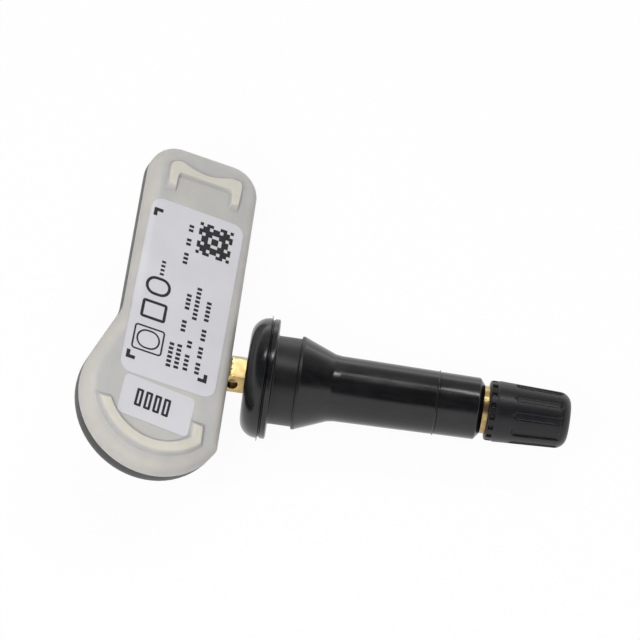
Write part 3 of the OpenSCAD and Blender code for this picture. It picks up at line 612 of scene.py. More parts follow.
def dress(material: Material, *nodes: str) -> None:
    """Gives CAD nodes a finish.

    Args:
        material: the finish.
        nodes: the nodes' names.
    """
    for node in nodes:
        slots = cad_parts[node].data.materials
        if not len(slots):
            slots.append(material)
        for i in range(len(slots)):
            slots[i] = material
        LOG.info("%s: dressed with %s", node, material.name)


# Housing


@dataclass
class Housing:
    """The sealed housing: dark base, milky lid with its ribs, and its outline in the flat frame."""

    right_x: float = -8.25
    left_x: float = -27.2
    end_y: float = 34.5
    corner_r: float = 5.0
    bulb_x: float = -19.5
    bulb_y: float = -11.3
    bulb_r: float = 12.5
    bulb_corner_r: float = 0.9
    neck_y: float = 3.2
    neck_r: float = 6.0
    lid_z: float = 4.0
    joint_z: float = 1.0
    lid_round: float = 2.0
    lid_under_z: float = 2.7
    wall: float = 1.4
    rib_h: float = 0.8
    rib_w: float = 1.1
    rib_slope: float = 0.5
    arc_w: float = 1.25
    arc_slope: float = 0.72
    rib_fade: float = 1.1
    # How deep a rib's underside sits, and the values for wall_depth on the lid's plain face and middle
    rib_sink: float = 0.06
    flat_value: float = 5.0
    land_w: float = 4.4
    middle_value: float = 6.8
    under_w: float = 1.9
    # The U rib: its sides from the housing's, its foot and end from the housing's end, and its dip
    u_left: float = 4.7
    u_right: float = 5.35
    u_foot: float = 9.1
    u_end: float = 6.05
    u_dip: float = 1.05
    # The arc rib: its radius, and its leg from the right side and below the bulb's middle
    arc_r: float = 9.6
    leg_in: float = 4.4
    leg_foot: float = 2.4

    @property
    def spine_x(self) -> float:
        """Middle of the narrow part."""
        return 0.5 * (self.left_x + self.right_x)

    def ring(self, inset: float) -> np.ndarray:
        """Works out the housing's outline moved inwards: straight runs, four corner arcs, the neck's hollow arc
        and the bulb's arc, each with a fixed number of points, so rings of different insets match.

        Args:
            inset: distance inwards in millimetres.

        Returns:
            Array of n by 2, anticlockwise.
        """
        to_bulb = np.array([self.left_x - self.bulb_x, self.neck_y - self.bulb_y])
        slant = math.degrees(math.atan2(to_bulb[1], to_bulb[0])
                             + math.acos(self.bulb_r / float(np.hypot(*to_bulb))))
        turn = 180.0 - slant
        neck_cy = self.neck_y + self.neck_r * math.tan(math.radians(turn / 2))
        small_r = max(self.bulb_corner_r - inset, 0.03)
        small_x = self.right_x - inset - small_r
        reach = self.bulb_r - inset - small_r
        small_y = self.bulb_y - math.sqrt(reach ** 2 - (small_x - self.bulb_x) ** 2)
        touch = math.degrees(math.atan2(small_y - self.bulb_y, small_x - self.bulb_x))
        r = self.corner_r - inset
        right = arc_points((self.right_x - self.corner_r, self.end_y - self.corner_r), r, 0, 90, 22)
        left = arc_points((self.left_x + self.corner_r, self.end_y - self.corner_r), r, 90, 180, 22)
        neck = arc_points((self.left_x - self.neck_r, neck_cy), self.neck_r + inset, 0, -turn, 12)
        bulb = arc_points((self.bulb_x, self.bulb_y), self.bulb_r - inset, slant, 360 + touch, 100)
        small = arc_points((small_x, small_y), small_r, touch, 0, 8)
        return np.concatenate([run_points(small[-1], right[0], 24), right, run_points(right[-1], left[0], 8), left,
                               run_points(left[-1], neck[0], 16), neck, run_points(neck[-1], bulb[0], 6), bulb,
                               small[1:]])

    def lid_height(self, points: np.ndarray) -> np.ndarray:
        """Gives the lid's height under points of the flat frame: level, and round along the straight sides.

        Args:
            points: array whose last axis is x, y.

        Returns:
            Heights in the flat frame.
        """
        inset = np.minimum(points[..., 0] - self.left_x, self.right_x - points[..., 0])
        inside = np.clip(self.lid_round - inset, 0.0, self.lid_round)
        drop = self.lid_round - np.sqrt(self.lid_round ** 2 - inside ** 2)
        return self.lid_z - np.where(points[..., 1] > self.neck_y, drop, 0.0)

    def lid_shell(self) -> Patch:
        """Carries the lid's section round the outline: up the side, over a quarter round, across the land, with the
        hollow underneath. Each section point is an inset and a height.

        Returns:
            The closed patch.
        """
        a = np.radians(np.linspace(0.0, 90.0, 13))
        over = np.stack([self.lid_round * (1 - np.cos(a)),
                         self.lid_z - self.lid_round * (1 - np.sin(a))], -1)
        side = np.array([[0.1, self.joint_z + 0.02], [0.02, self.joint_z + 0.07], [0.0, self.joint_z + 0.16]])
        land = np.array([[d, self.lid_z] for d in (2.4, 2.9, 3.5, self.land_w)])
        under = np.array([[self.under_w, self.lid_under_z], [1.55, self.lid_under_z - 0.1],
                          [self.wall, self.lid_under_z - 0.4], [self.wall, self.joint_z + 0.02]])
        section = np.vstack([under, side, over, land])
        rings = np.array([np.column_stack([self.ring(d), np.full(len(self.ring(d)), z)]) for d, z in section])
        depth = np.repeat(section[:, :1], rings.shape[1], axis=1)
        top = fan(rings[-1], np.array([self.spine_x, 0.0, self.lid_z]), self.land_w, self.middle_value)
        low = fan(rings[0], np.array([self.spine_x, 0.0, self.lid_under_z]), self.under_w, self.under_w)
        shell = joined([grid(rings, wrap=True, values=depth), top, low.turned_over()])
        return Patch(in_housing(shell.verts), shell.quads, shell.tris, shell.values).outward()

    def ridge(self, outer: np.ndarray, inner: np.ndarray, slope: float) -> Patch:
        """Raises a rib between two matching edge lines. Its height is the rib height times two smooth steps: one of
        the distance from the nearer side over the slope's width, one of that from the nearer end over the fade.

        Args:
            outer: one foot line, n by 2.
            inner: the other foot line, n by 2.
            slope: width of each sloping side.

        Returns:
            A closed patch.
        """
        across = np.linspace(0.0, 1.0, 19)
        flat = outer[:, None, :] * (1 - across[None, :, None]) + inner[:, None, :] * across[None, :, None]
        width = np.linalg.norm(outer - inner, axis=1)[:, None]
        middle = 0.5 * (outer + inner)
        along = np.concatenate([[0.0], np.cumsum(np.linalg.norm(np.diff(middle, axis=0), axis=1))])
        from_end = np.minimum(along, along[-1] - along)[:, None]
        from_side = np.minimum(across, 1 - across)[None, :] * width
        rise = smoothstep(from_side / slope) * smoothstep(from_end / self.rib_fade)
        top = np.concatenate([flat, (self.lid_z - 0.01 + self.rib_h * rise)[..., None]], -1)
        low = np.concatenate([flat, np.full(flat.shape[:2] + (1,), self.lid_z - self.rib_sink)], -1)
        # wall_depth falls as the rib rises, so its slopes and crest take the edge and rib tones, which are partly
        # painted highlight
        whole = slab(top, low, self.flat_value - 6.0 * rise, self.flat_value)
        return Patch(in_housing(whole.verts), whole.quads, whole.tris, whole.values)

    def end_rib(self) -> Patch:
        """Raises the open U at the narrow end. Its foot lines are rounded lines, and the outer one dips by a half
        sine in the middle of the cross leg.

        Returns:
            The closed patch.
        """
        left, right = self.left_x + self.u_left, self.right_x - self.u_right
        foot, end = self.end_y - self.u_foot, self.end_y - self.u_end
        full = self.rib_w + 2 * self.rib_slope
        inner = filleted([(right, foot, 0), (right, end, 0.5), (left, end, 0.5), (left, foot, 0)], 8)
        outer = filleted([(right + full, foot, 0), (right + full, end + full + 0.8, 0.95),
                          (left - full, end + full + 0.85, 1.75), (left - full, foot, 0)], 8)
        inner, outer = self.resampled(inner), self.resampled(outer)
        t = np.clip((right - outer[:, 0]) / (right - left), 0.0, 1.0)
        outer[:, 1] -= np.where(outer[:, 1] > end, self.u_dip * np.sin(math.pi * t), 0.0)
        return self.ridge(outer, inner, self.rib_slope)

    @staticmethod
    def resampled(line: np.ndarray, legs: tuple[int, ...] = (28, 10, 60, 10, 28)) -> np.ndarray:
        """Spreads points along a U line so that its legs, corners and cross leg get fixed counts.

        Args:
            line: a rounded line whose two corners have 9 points each.
            legs: points in leg, corner, cross leg, corner and leg.

        Returns:
            Array of points.
        """
        stops = [0, 1, 9, 10, 18, 19]
        parts = []
        for count, a, b in zip(legs, stops, stops[1:]):
            part = line[a:b + 1]
            s = np.concatenate([[0.0], np.cumsum(np.linalg.norm(np.diff(part, axis=0), axis=1))])
            t = np.linspace(0.0, s[-1], count + 1)[:-1]
            parts.append(np.stack([np.interp(t, s, part[:, 0]), np.interp(t, s, part[:, 1])], -1))
        return np.concatenate(parts + [line[-1:]])

    def bulb_rib(self) -> Patch:
        """Raises the arc rib at the bulb: two arcs about one centre that turn up into a short straight leg.

        Returns:
            The closed patch.
        """
        cx, cy, r = self.bulb_x - 0.05, self.bulb_y + 0.8, self.arc_r
        leg_x, foot = self.right_x - self.leg_in, self.bulb_y - self.leg_foot
        half = 0.5 * self.arc_w + self.arc_slope
        edges = []
        for radius, x in ((r + half, leg_x + half), (r - half, leg_x - half)):
            start = 180.0 + math.degrees(math.asin((cy - foot) / radius))
            end = 360.0 - math.degrees(math.acos((x - cx) / radius))
            bend = arc_points((cx, cy), radius, start, end, 90)
            leg = run_points(bend[-1], np.array([x, foot]), 24)
            edges.append(np.concatenate([bend, leg, [[x, foot]]]))
        return self.ridge(edges[0], edges[1], self.arc_slope)

    def build(self, nylon: Material, black: Material) -> None:
        """Builds and places the lid and the base.

        Args:
            nylon: the lid's finish.
            black: the base's finish.
        """
        lid = joined([self.lid_shell(), self.end_rib(), self.bulb_rib()])
        add_piece("lid_moulding", lid, nylon, ("lid",), 40.0)
        add_piece("base_moulding", node_patch("base_housing"), black, ("base_housing",), 34.0)


# Labels and print


@dataclass
class Label:
    """A rounded film label that lies on the lid and follows its rounded side, with print as plain shapes."""

    node: str
    centre: tuple[float, float]
    turn_deg: float
    width: float
    length: float
    corner: float
    housing: Housing
    thickness: float = 0.1
    follow: float = 0.75
    ink_lift: float = 0.012

    def laid(self, flat: np.ndarray, lift: float) -> np.ndarray:
        """Lays flat label points on the lid: a turn, a shift and the lid's own height plus a lift.

        Args:
            flat: array whose last axis is x, y in the label's frame.
            lift: height over the lid.

        Returns:
            Points in the row frame.
        """
        a = math.radians(self.turn_deg)
        x = self.centre[0] + math.cos(a) * flat[..., 0] - math.sin(a) * flat[..., 1]
        y = self.centre[1] + math.sin(a) * flat[..., 0] + math.cos(a) * flat[..., 1]
        drop = self.housing.lid_z - self.housing.lid_height(np.stack([x, y], -1))
        return in_housing(np.stack([x, y, self.housing.lid_z + lift - self.follow * drop], -1))

    def film(self) -> Patch:
        """Fills the rounded outline with rows: at each height the half width is the straight one less what the
        corner's circle takes off.

        Returns:
            The closed patch.
        """
        half_l, r = self.length / 2, self.corner
        ends = r * (1 - np.cos(np.radians(np.linspace(0, 90, 12))))
        rows = np.concatenate([-half_l + ends, np.linspace(-half_l + r, half_l - r, 24)[1:-1],
                               (half_l - ends)[::-1]])
        into = np.clip(np.abs(rows) - (half_l - r), 0.0, r)
        half_w = self.width / 2 - r + np.sqrt(r * r - into * into)
        s = np.sin(np.linspace(-0.5, 0.5, 31) * math.pi)
        flat = np.stack([half_w[:, None] * s[None, :], np.repeat(rows[:, None], len(s), 1)], -1)
        top, low = self.laid(flat, self.thickness), self.laid(flat, 0.005)
        return slab(top, low)

    def bars(self, boxes: np.ndarray) -> Patch:
        """Prints rectangles, each cut across into strips, so that it follows the lid's rounded side.

        Args:
            boxes: array of centre x, centre y, width and height.

        Returns:
            One thin patch with a quad for each strip.
        """
        pieces = 5
        shift = np.tile((np.arange(pieces) + 0.5) / pieces - 0.5, len(boxes))
        boxes = np.repeat(boxes, pieces, axis=0)
        boxes = np.stack([boxes[:, 0] + shift * boxes[:, 2], boxes[:, 1], boxes[:, 2] / pieces, boxes[:, 3]], -1)
        signs = np.array([[-0.5, -0.5], [0.5, -0.5], [0.5, 0.5], [-0.5, 0.5]])
        flat = boxes[:, None, :2] + signs[None] * boxes[:, None, 2:]
        quads = np.arange(4 * len(boxes)).reshape(-1, 4)
        return Patch(self.laid(flat, self.thickness + self.ink_lift).reshape(-1, 3), quads)

    def outline(self, centre: tuple[float, float], size: tuple[float, float], corner: float,
                stroke: float) -> Patch:
        """Prints a rounded outline: a strip between a rounded rectangle and the same one drawn in by the stroke.

        Args:
            centre: middle of the outline.
            size: overall width and height.
            corner: outer corner radius.
            stroke: width of the line.

        Returns:
            One flat patch.
        """
        lines = []
        for d in (0.0, stroke):
            w, h, r = size[0] / 2 - d, size[1] / 2 - d, max(corner - d, 0.02)
            lines.append(np.concatenate([arc_points((centre[0] + sx * (w - r), centre[1] + sy * (h - r)), r, a,
                                                    a + 90, 9)
                                         for sx, sy, a in ((1, 1, 0), (-1, 1, 90), (-1, -1, 180), (1, -1, 270))]))
        return grid(self.laid(np.stack(lines), self.thickness + self.ink_lift), wrap=True).turned_over()

    @staticmethod
    def facing_up(patch: Patch) -> Patch:
        """Turns flat print so that every face looks away from the lid.

        Args:
            patch: the print's quads.

        Returns:
            The same patch with its faces up.
        """
        corners = patch.verts[patch.quads]
        normal = np.cross(corners[:, 1] - corners[:, 0], corners[:, 2] - corners[:, 0])
        flip = normal[:, 2] < 0
        quads = patch.quads.copy()
        quads[flip] = quads[flip][:, ::-1]
        return Patch(patch.verts, quads, patch.tris, patch.values)

    def build(self, film: Material, ink: Material, print_parts: list[Patch]) -> None:
        """Builds and places the film and its print.

        Args:
            film: the film's finish.
            ink: the print's finish.
            print_parts: the print's patches.
        """
        add_piece(self.node + "_film", self.film(), film, (self.node,), 50.0)
        add_piece(self.node + "_print", self.facing_up(joined(print_parts)), ink)


def dashes(x: float, words: list[tuple[float, float]], height: float, step: float = 0.78,
           dash: float = 0.5) -> np.ndarray:
    """Lays a printed row as plain dashes: each word is filled with dashes at an even step.

    Args:
        x: place of the row across the label.
        words: start and end of each word along the label.
        height: height of a dash across the row.
        step: distance from dash to dash.
        dash: length of a dash along the row.

    Returns:
        Array of centre x, centre y, width and height.
    """
    places = np.concatenate([np.arange(a + step / 2, b, step) for a, b in words])
    ones = np.ones(len(places))
    return np.stack([x * ones, places, height * ones, dash * ones], -1)


def block_field(centre: tuple[float, float], size: float, count: int = 10) -> np.ndarray:
    """Lays a decorative field of square blocks, the same in all four quarters, so that it holds no message.

    Args:
        centre: middle of the field.
        size: its side.
        count: blocks along a side.

    Returns:
        Array of centre x, centre y, width and height.
    """
    pitch = size / count
    i, j = np.meshgrid(np.arange(count), np.arange(count), indexing="ij")
    u, v = np.minimum(i, count - 1 - i), np.minimum(j, count - 1 - j)
    dark = ((u * v + u + v) % 3 != 1)
    x = centre[0] + (i[dark] + 0.5 - count / 2) * pitch
    y = centre[1] + (j[dark] + 0.5 - count / 2) * pitch
    return np.stack([x, y, np.full(x.shape, pitch), np.full(x.shape, pitch)], -1)


def corner_mark(x: float, y: float, right: bool, up: bool, arm: float = 1.55, rise: float = 1.5,
                stroke: float = 0.62) -> np.ndarray:
    """Lays an angle mark as two bars that meet in a corner.

    Args:
        x: the corner's place across the label.
        y: the corner's place along the label.
        right: whether the flat arm runs to the right.
        up: whether the upright arm runs up.
        arm: length of the flat arm.
        rise: length of the upright arm.
        stroke: width of both.

    Returns:
        Array of centre x, centre y, width and height.
    """
    sx, sy = (1 if right else -1), (1 if up else -1)
    return np.array([[x + sx * arm / 2, y + sy * stroke / 2, arm, stroke],
                     [x + sx * stroke / 2, y + sy * (rise + stroke) / 2, stroke, rise - stroke]])


# Stem, insert and cap


@dataclass
class Stem:
    """The rubber stem and the brass insert in it."""

    flange_r: float = 9.75
    flange_x: float = -4.4
    flange_round: float = 2.9
    fin_r: float = 10.2
    seat_r: float = 7.15
    seat_w: float = 3.85
    bulge_r: float = 7.55
    cone_end: float = 9.8
    root_r: float = 5.325
    tip_r: float = 5.0
    ridge_x: float = 26.6
    rubber_end: float = 34.03
    end_cone: float = 0.83
    thread_r: float = 3.85
    thread_pitch: float = 0.79375
    thread_depth: float = 0.4
    thread_start: float = 34.95
    tip_x: float = 46.0
    # The thread: plain run at the tip, lap under the rubber, tooth shape as shares of a pitch, fade and pieces
    tip_plain: float = 0.62
    lap: float = 0.05
    crest: float = 0.16
    flank: float = 0.68
    fade: float = 0.3
    pieces_per_turn: int = 14

    def rubber(self) -> Patch:
        """Turns the rubber's rounded profile about the stem's axis. The profile runs over the dome, the mould fin,
        the shoulder, the seat groove, the bulge, the cone and the stem, and back along the brass.

        Returns:
            The closed patch.
        """
        a = np.radians(np.linspace(0, 90, 16))
        dome = np.stack([self.flange_x + self.flange_round * (1 - np.cos(a)),
                         self.flange_r - self.flange_round * (1 - np.sin(a))], -1)
        cone_x = self.rubber_end - self.end_cone
        slope = (self.tip_r - self.root_r) / (cone_x - self.cone_end)
        ridge_r = self.root_r + slope * (self.ridge_x - self.cone_end)
        rest = filleted([
            (float(dome[-1, 0]), float(dome[-1, 1]), 0), (-1.43, self.flange_r, 0.05), (-1.38, self.fin_r, 0.05),
            (-1.3, self.fin_r, 0.05), (-1.22, 9.62, 0.05), (-1.04, 9.4, 0.1), (-0.88, 9.68, 0.08),
            (-0.1, self.flange_r, 0.3), (0.0, self.flange_r - 0.35, 0.1), (0.0, self.seat_r, 0.3),
            (self.seat_w, self.seat_r, 0.12), (self.seat_w + 0.02, self.bulge_r, 0.12),
            (self.seat_w + 0.45, self.bulge_r, 0.3), (self.cone_end - 0.3, self.root_r + 0.16, 1.2),
            (self.cone_end + 0.8, self.root_r, 0.8), (self.ridge_x - 0.22, ridge_r + 0.02, 0.05),
            (self.ridge_x - 0.08, ridge_r + 0.17, 0.05), (self.ridge_x + 0.04, ridge_r + 0.17, 0.04),
            (self.ridge_x + 0.1, ridge_r - 0.09, 0.04), (self.ridge_x + 0.24, ridge_r - 0.02, 0.05),
            (cone_x, self.tip_r, 0.3), (self.rubber_end, self.thread_r + 0.1, 0.05),
            (self.rubber_end, self.thread_r + 0.02, 0)], 6)
        bore = np.array([[self.rubber_end - 1.0, self.thread_r + 0.01], [self.rubber_end - 4.5, 3.3],
                         [self.flange_x + 0.6, 3.42], [self.flange_x, 3.42]])
        profile = np.vstack([dome, rest[1:], bore, dome[:1]])
        return revolved(profile, 160).outward()

    def thread(self) -> Patch:
        """Carries a thread along the stem. The radius is the outer one less the depth times a rounded tooth wave of
        (x / pitch - angle / 360). The wave fades out at both ends, and the neck beside the rubber stays plain.

        Returns:
            The patch.
        """
        x0, x1 = self.rubber_end + self.lap, self.tip_x - self.tip_plain
        x = np.linspace(x0, x1, int((x1 - x0) / self.thread_pitch * self.pieces_per_turn))
        angle = np.linspace(0.0, 2 * math.pi, 120, endpoint=False)
        phase = x[:, None] / self.thread_pitch - angle[None, :] / (2 * math.pi)
        tooth = np.abs(2.0 * (phase - np.floor(phase)) - 1.0)
        groove = smoothstep((tooth - self.crest) / self.flank)
        fade = smoothstep((x - self.thread_start) / self.fade) * smoothstep((x1 - x) / self.fade)
        r = self.thread_r - self.thread_depth * groove * fade[:, None]
        return grid(about_axis(x[:, None], r, angle), wrap=True).turned_over()

    def insert(self) -> Patch:
        """Copies the brass insert's own faces and puts the thread in place of its plain outer wall: a face is
        dropped where all its corners lie at the thread's radius between the rubber's end and the tip.

        Returns:
            The patch.
        """
        solid = node_patch("stem_insert")
        radius = np.hypot(solid.verts[:, 1], solid.verts[:, 2])
        on_wall = np.abs(radius - self.thread_r) < 0.02
        plain = on_wall[solid.tris].all(axis=1)
        kept = Patch(solid.verts, tris=solid.tris[~plain])
        tubes = [revolved(np.array([[a, self.thread_r], [b, self.thread_r]]), 120).turned_over() for a, b in (
            (self.rubber_end - 3.9, self.rubber_end + self.lap), (self.tip_x - self.tip_plain, self.tip_x - 0.6))]
        return joined([kept, tubes[0], self.thread(), tubes[1]])

    def build(self, rubber: Material, brass: Material) -> None:
        """Builds and places the rubber and the brass.

        Args:
            rubber: the rubber's finish.
            brass: the brass's finish.
        """
        add_piece("stem_moulding", self.rubber(), rubber, ("stem_rubber",), 35.0)
        add_piece("brass_insert", self.insert(), brass, ("stem_insert",), 30.0)


@dataclass
class CoreSpring:
    """The valve core's coil spring, which stands on the core's floor and is pressed by the pin's stop."""

    start_x: float = 35.64
    end_x: float = 39.86
    floor_x: float = 35.52
    stop_x: float = 39.98
    coil_r: float = 0.715
    wire_r: float = 0.12
    turns: int = 7
    stroke: float = 1.2

    def wire(self) -> Patch:
        """Carries a circle along a helix. At the angle a the helix is at (start + travel a / whole turn,
        r cos a, r sin a), the circle lies in the plane through the axis, and a fan closes each end.

        Returns:
            The closed patch.
        """
        a = np.linspace(0.0, 2 * math.pi * self.turns, 24 * self.turns + 1)[:, None]
        b = np.linspace(0.0, 2 * math.pi, 12, endpoint=False)[None, :]
        r = self.coil_r + self.wire_r * np.cos(b)
        x = self.start_x + (self.end_x - self.start_x) * a / a[-1] - self.wire_r * np.sin(b)
        rings = np.stack([x, r * np.cos(a), r * np.sin(a)], -1)
        low = fan(rings[0], rings[0].mean(axis=0)).turned_over()
        return joined([grid(rings, wrap=True), fan(rings[-1], rings[-1].mean(axis=0)), low]).outward()

    def build(self, steel: Material) -> None:
        """Builds and places the spring and gives it a mesh of its own.

        Args:
            steel: the wire's finish.
        """
        spring = add_piece("core_spring_wire", self.wire(), steel, ("core_spring",), 40.0)
        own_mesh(spring)


@dataclass
class Cap:
    """The screw cap: a notched collar, a plain band and soft-edged flutes that run over the rounded end."""

    open_x: float = 34.85
    end_x: float = 48.15
    open_r: float = 4.95
    far_r: float = 4.55
    round_r: float = 2.0
    bore_r: float = 3.9
    bore_end: float = 46.92
    flutes: int = 10
    flute_w: float = 1.5
    flute_depth: float = 0.4
    flute_start: float = 38.9
    flute_end: float = 46.6
    flute_turn: float = 13.0
    notches: int = 16
    notch_turn: float = 18.0
    collar_end: float = 36.2
    # The collar's step and lead-in, and the notches' place, half length, half width and depth
    collar_step: float = 0.1
    lead_in: float = 0.4
    notch_x: float = 0.72
    notch_half: float = 0.3
    notch_half_w: float = 0.28
    notch_depth: float = 0.5

    def wall_radius(self, x: np.ndarray) -> np.ndarray:
        """Gives the plain wall's radius: a lead-in, a collar, a straight taper and a quarter round at the end.

        Args:
            x: stations along the axis.

        Returns:
            The radius at each station.
        """
        taper = self.open_r + (self.far_r - self.open_r) * np.clip(
            (x - self.collar_end) / (self.end_x - self.round_r - self.collar_end), 0.0, 1.0)
        into = np.clip(x - (self.end_x - self.round_r), 0.0, self.round_r)
        rounded = self.far_r - self.round_r + np.sqrt(np.maximum(self.round_r ** 2 - into ** 2, 0.0))
        wall = np.where(x > self.end_x - self.round_r, rounded, taper)
        collar = self.collar_step * (1.0 - smoothstep((x - self.collar_end) / 0.12))
        short = 1.0 - np.clip((x - self.open_x) / self.lead_in, 0, 1)
        lead = self.lead_in * (1.0 - np.sqrt(np.clip(1.0 - short ** 2, 0, 1)))
        return wall - collar - lead

    def skin(self) -> Patch:
        """Works out the outer wall on a grid of stations and angles. A flute takes off what a circle sunk into the
        wall would, softened at its rim, and a notch takes off a soft-edged box.

        Returns:
            The closed patch.
        """
        x = np.concatenate([np.linspace(self.open_x, self.collar_end + 0.2, 44)[:-1],
                            np.linspace(self.collar_end + 0.2, self.end_x - self.round_r, 70)[:-1],
                            self.end_x - self.round_r + self.round_r * np.sin(np.linspace(0, 0.5 * math.pi, 26))])
        angle = np.linspace(0.0, 2 * math.pi, 10 * self.flutes * 4, endpoint=False)
        base = self.wall_radius(x)[:, None] * np.ones((1, len(angle)))
        step = 2 * math.pi / self.flutes
        off = (angle - math.radians(self.flute_turn) + step / 2) % step - step / 2
        side = base * np.sin(off)[None, :]
        half = self.flute_w / 2
        run = x[:, None] - self.flute_start
        beyond = np.where(run < half, half - run, 0.0)
        far = np.hypot(side, beyond) / half
        bowl = np.sqrt(np.clip(1.0 - np.minimum(far, 1.0) ** 2, 0.0, 1.0))
        fade = 1.0 - smoothstep((x[:, None] - (self.flute_end - 0.5)) / 1.0)
        depth = self.flute_depth * smoothstep(bowl * 1.15) * np.where(run > -0.01, 1.0, 0.0) * fade
        tooth = 2 * math.pi / self.notches
        turned = (angle - math.radians(self.notch_turn) + tooth / 2) % tooth - tooth / 2
        across = np.abs(base * np.sin(turned)[None, :])
        along = np.abs(x[:, None] - self.open_x - self.notch_x)
        box = 1 - smoothstep((across - self.notch_half_w) / 0.16)
        box *= 1 - smoothstep((along - self.notch_half) / 0.14)
        points = about_axis(x[:, None], base - depth - self.notch_depth * box, angle)
        tip = fan(points[-1], np.array([self.end_x, 0.0, 0.0]))
        inner = np.array([[self.open_x, self.bore_r + 0.25], [self.open_x + 0.25, self.bore_r],
                          [self.bore_end, self.bore_r], [self.bore_end, 0.001]])
        bore = np.concatenate([points[:1], about_axis(inner[:, :1], inner[:, 1:], angle)])
        return joined([grid(points, wrap=True), tip, grid(bore, wrap=True).turned_over()])

    def build(self, plastic: Material) -> None:
        """Builds and places the cap in its finish."""
        add_piece("cap_moulding", self.skin(), plastic, ("valve_cap",), 38.0, Body.CAP)


# Studio


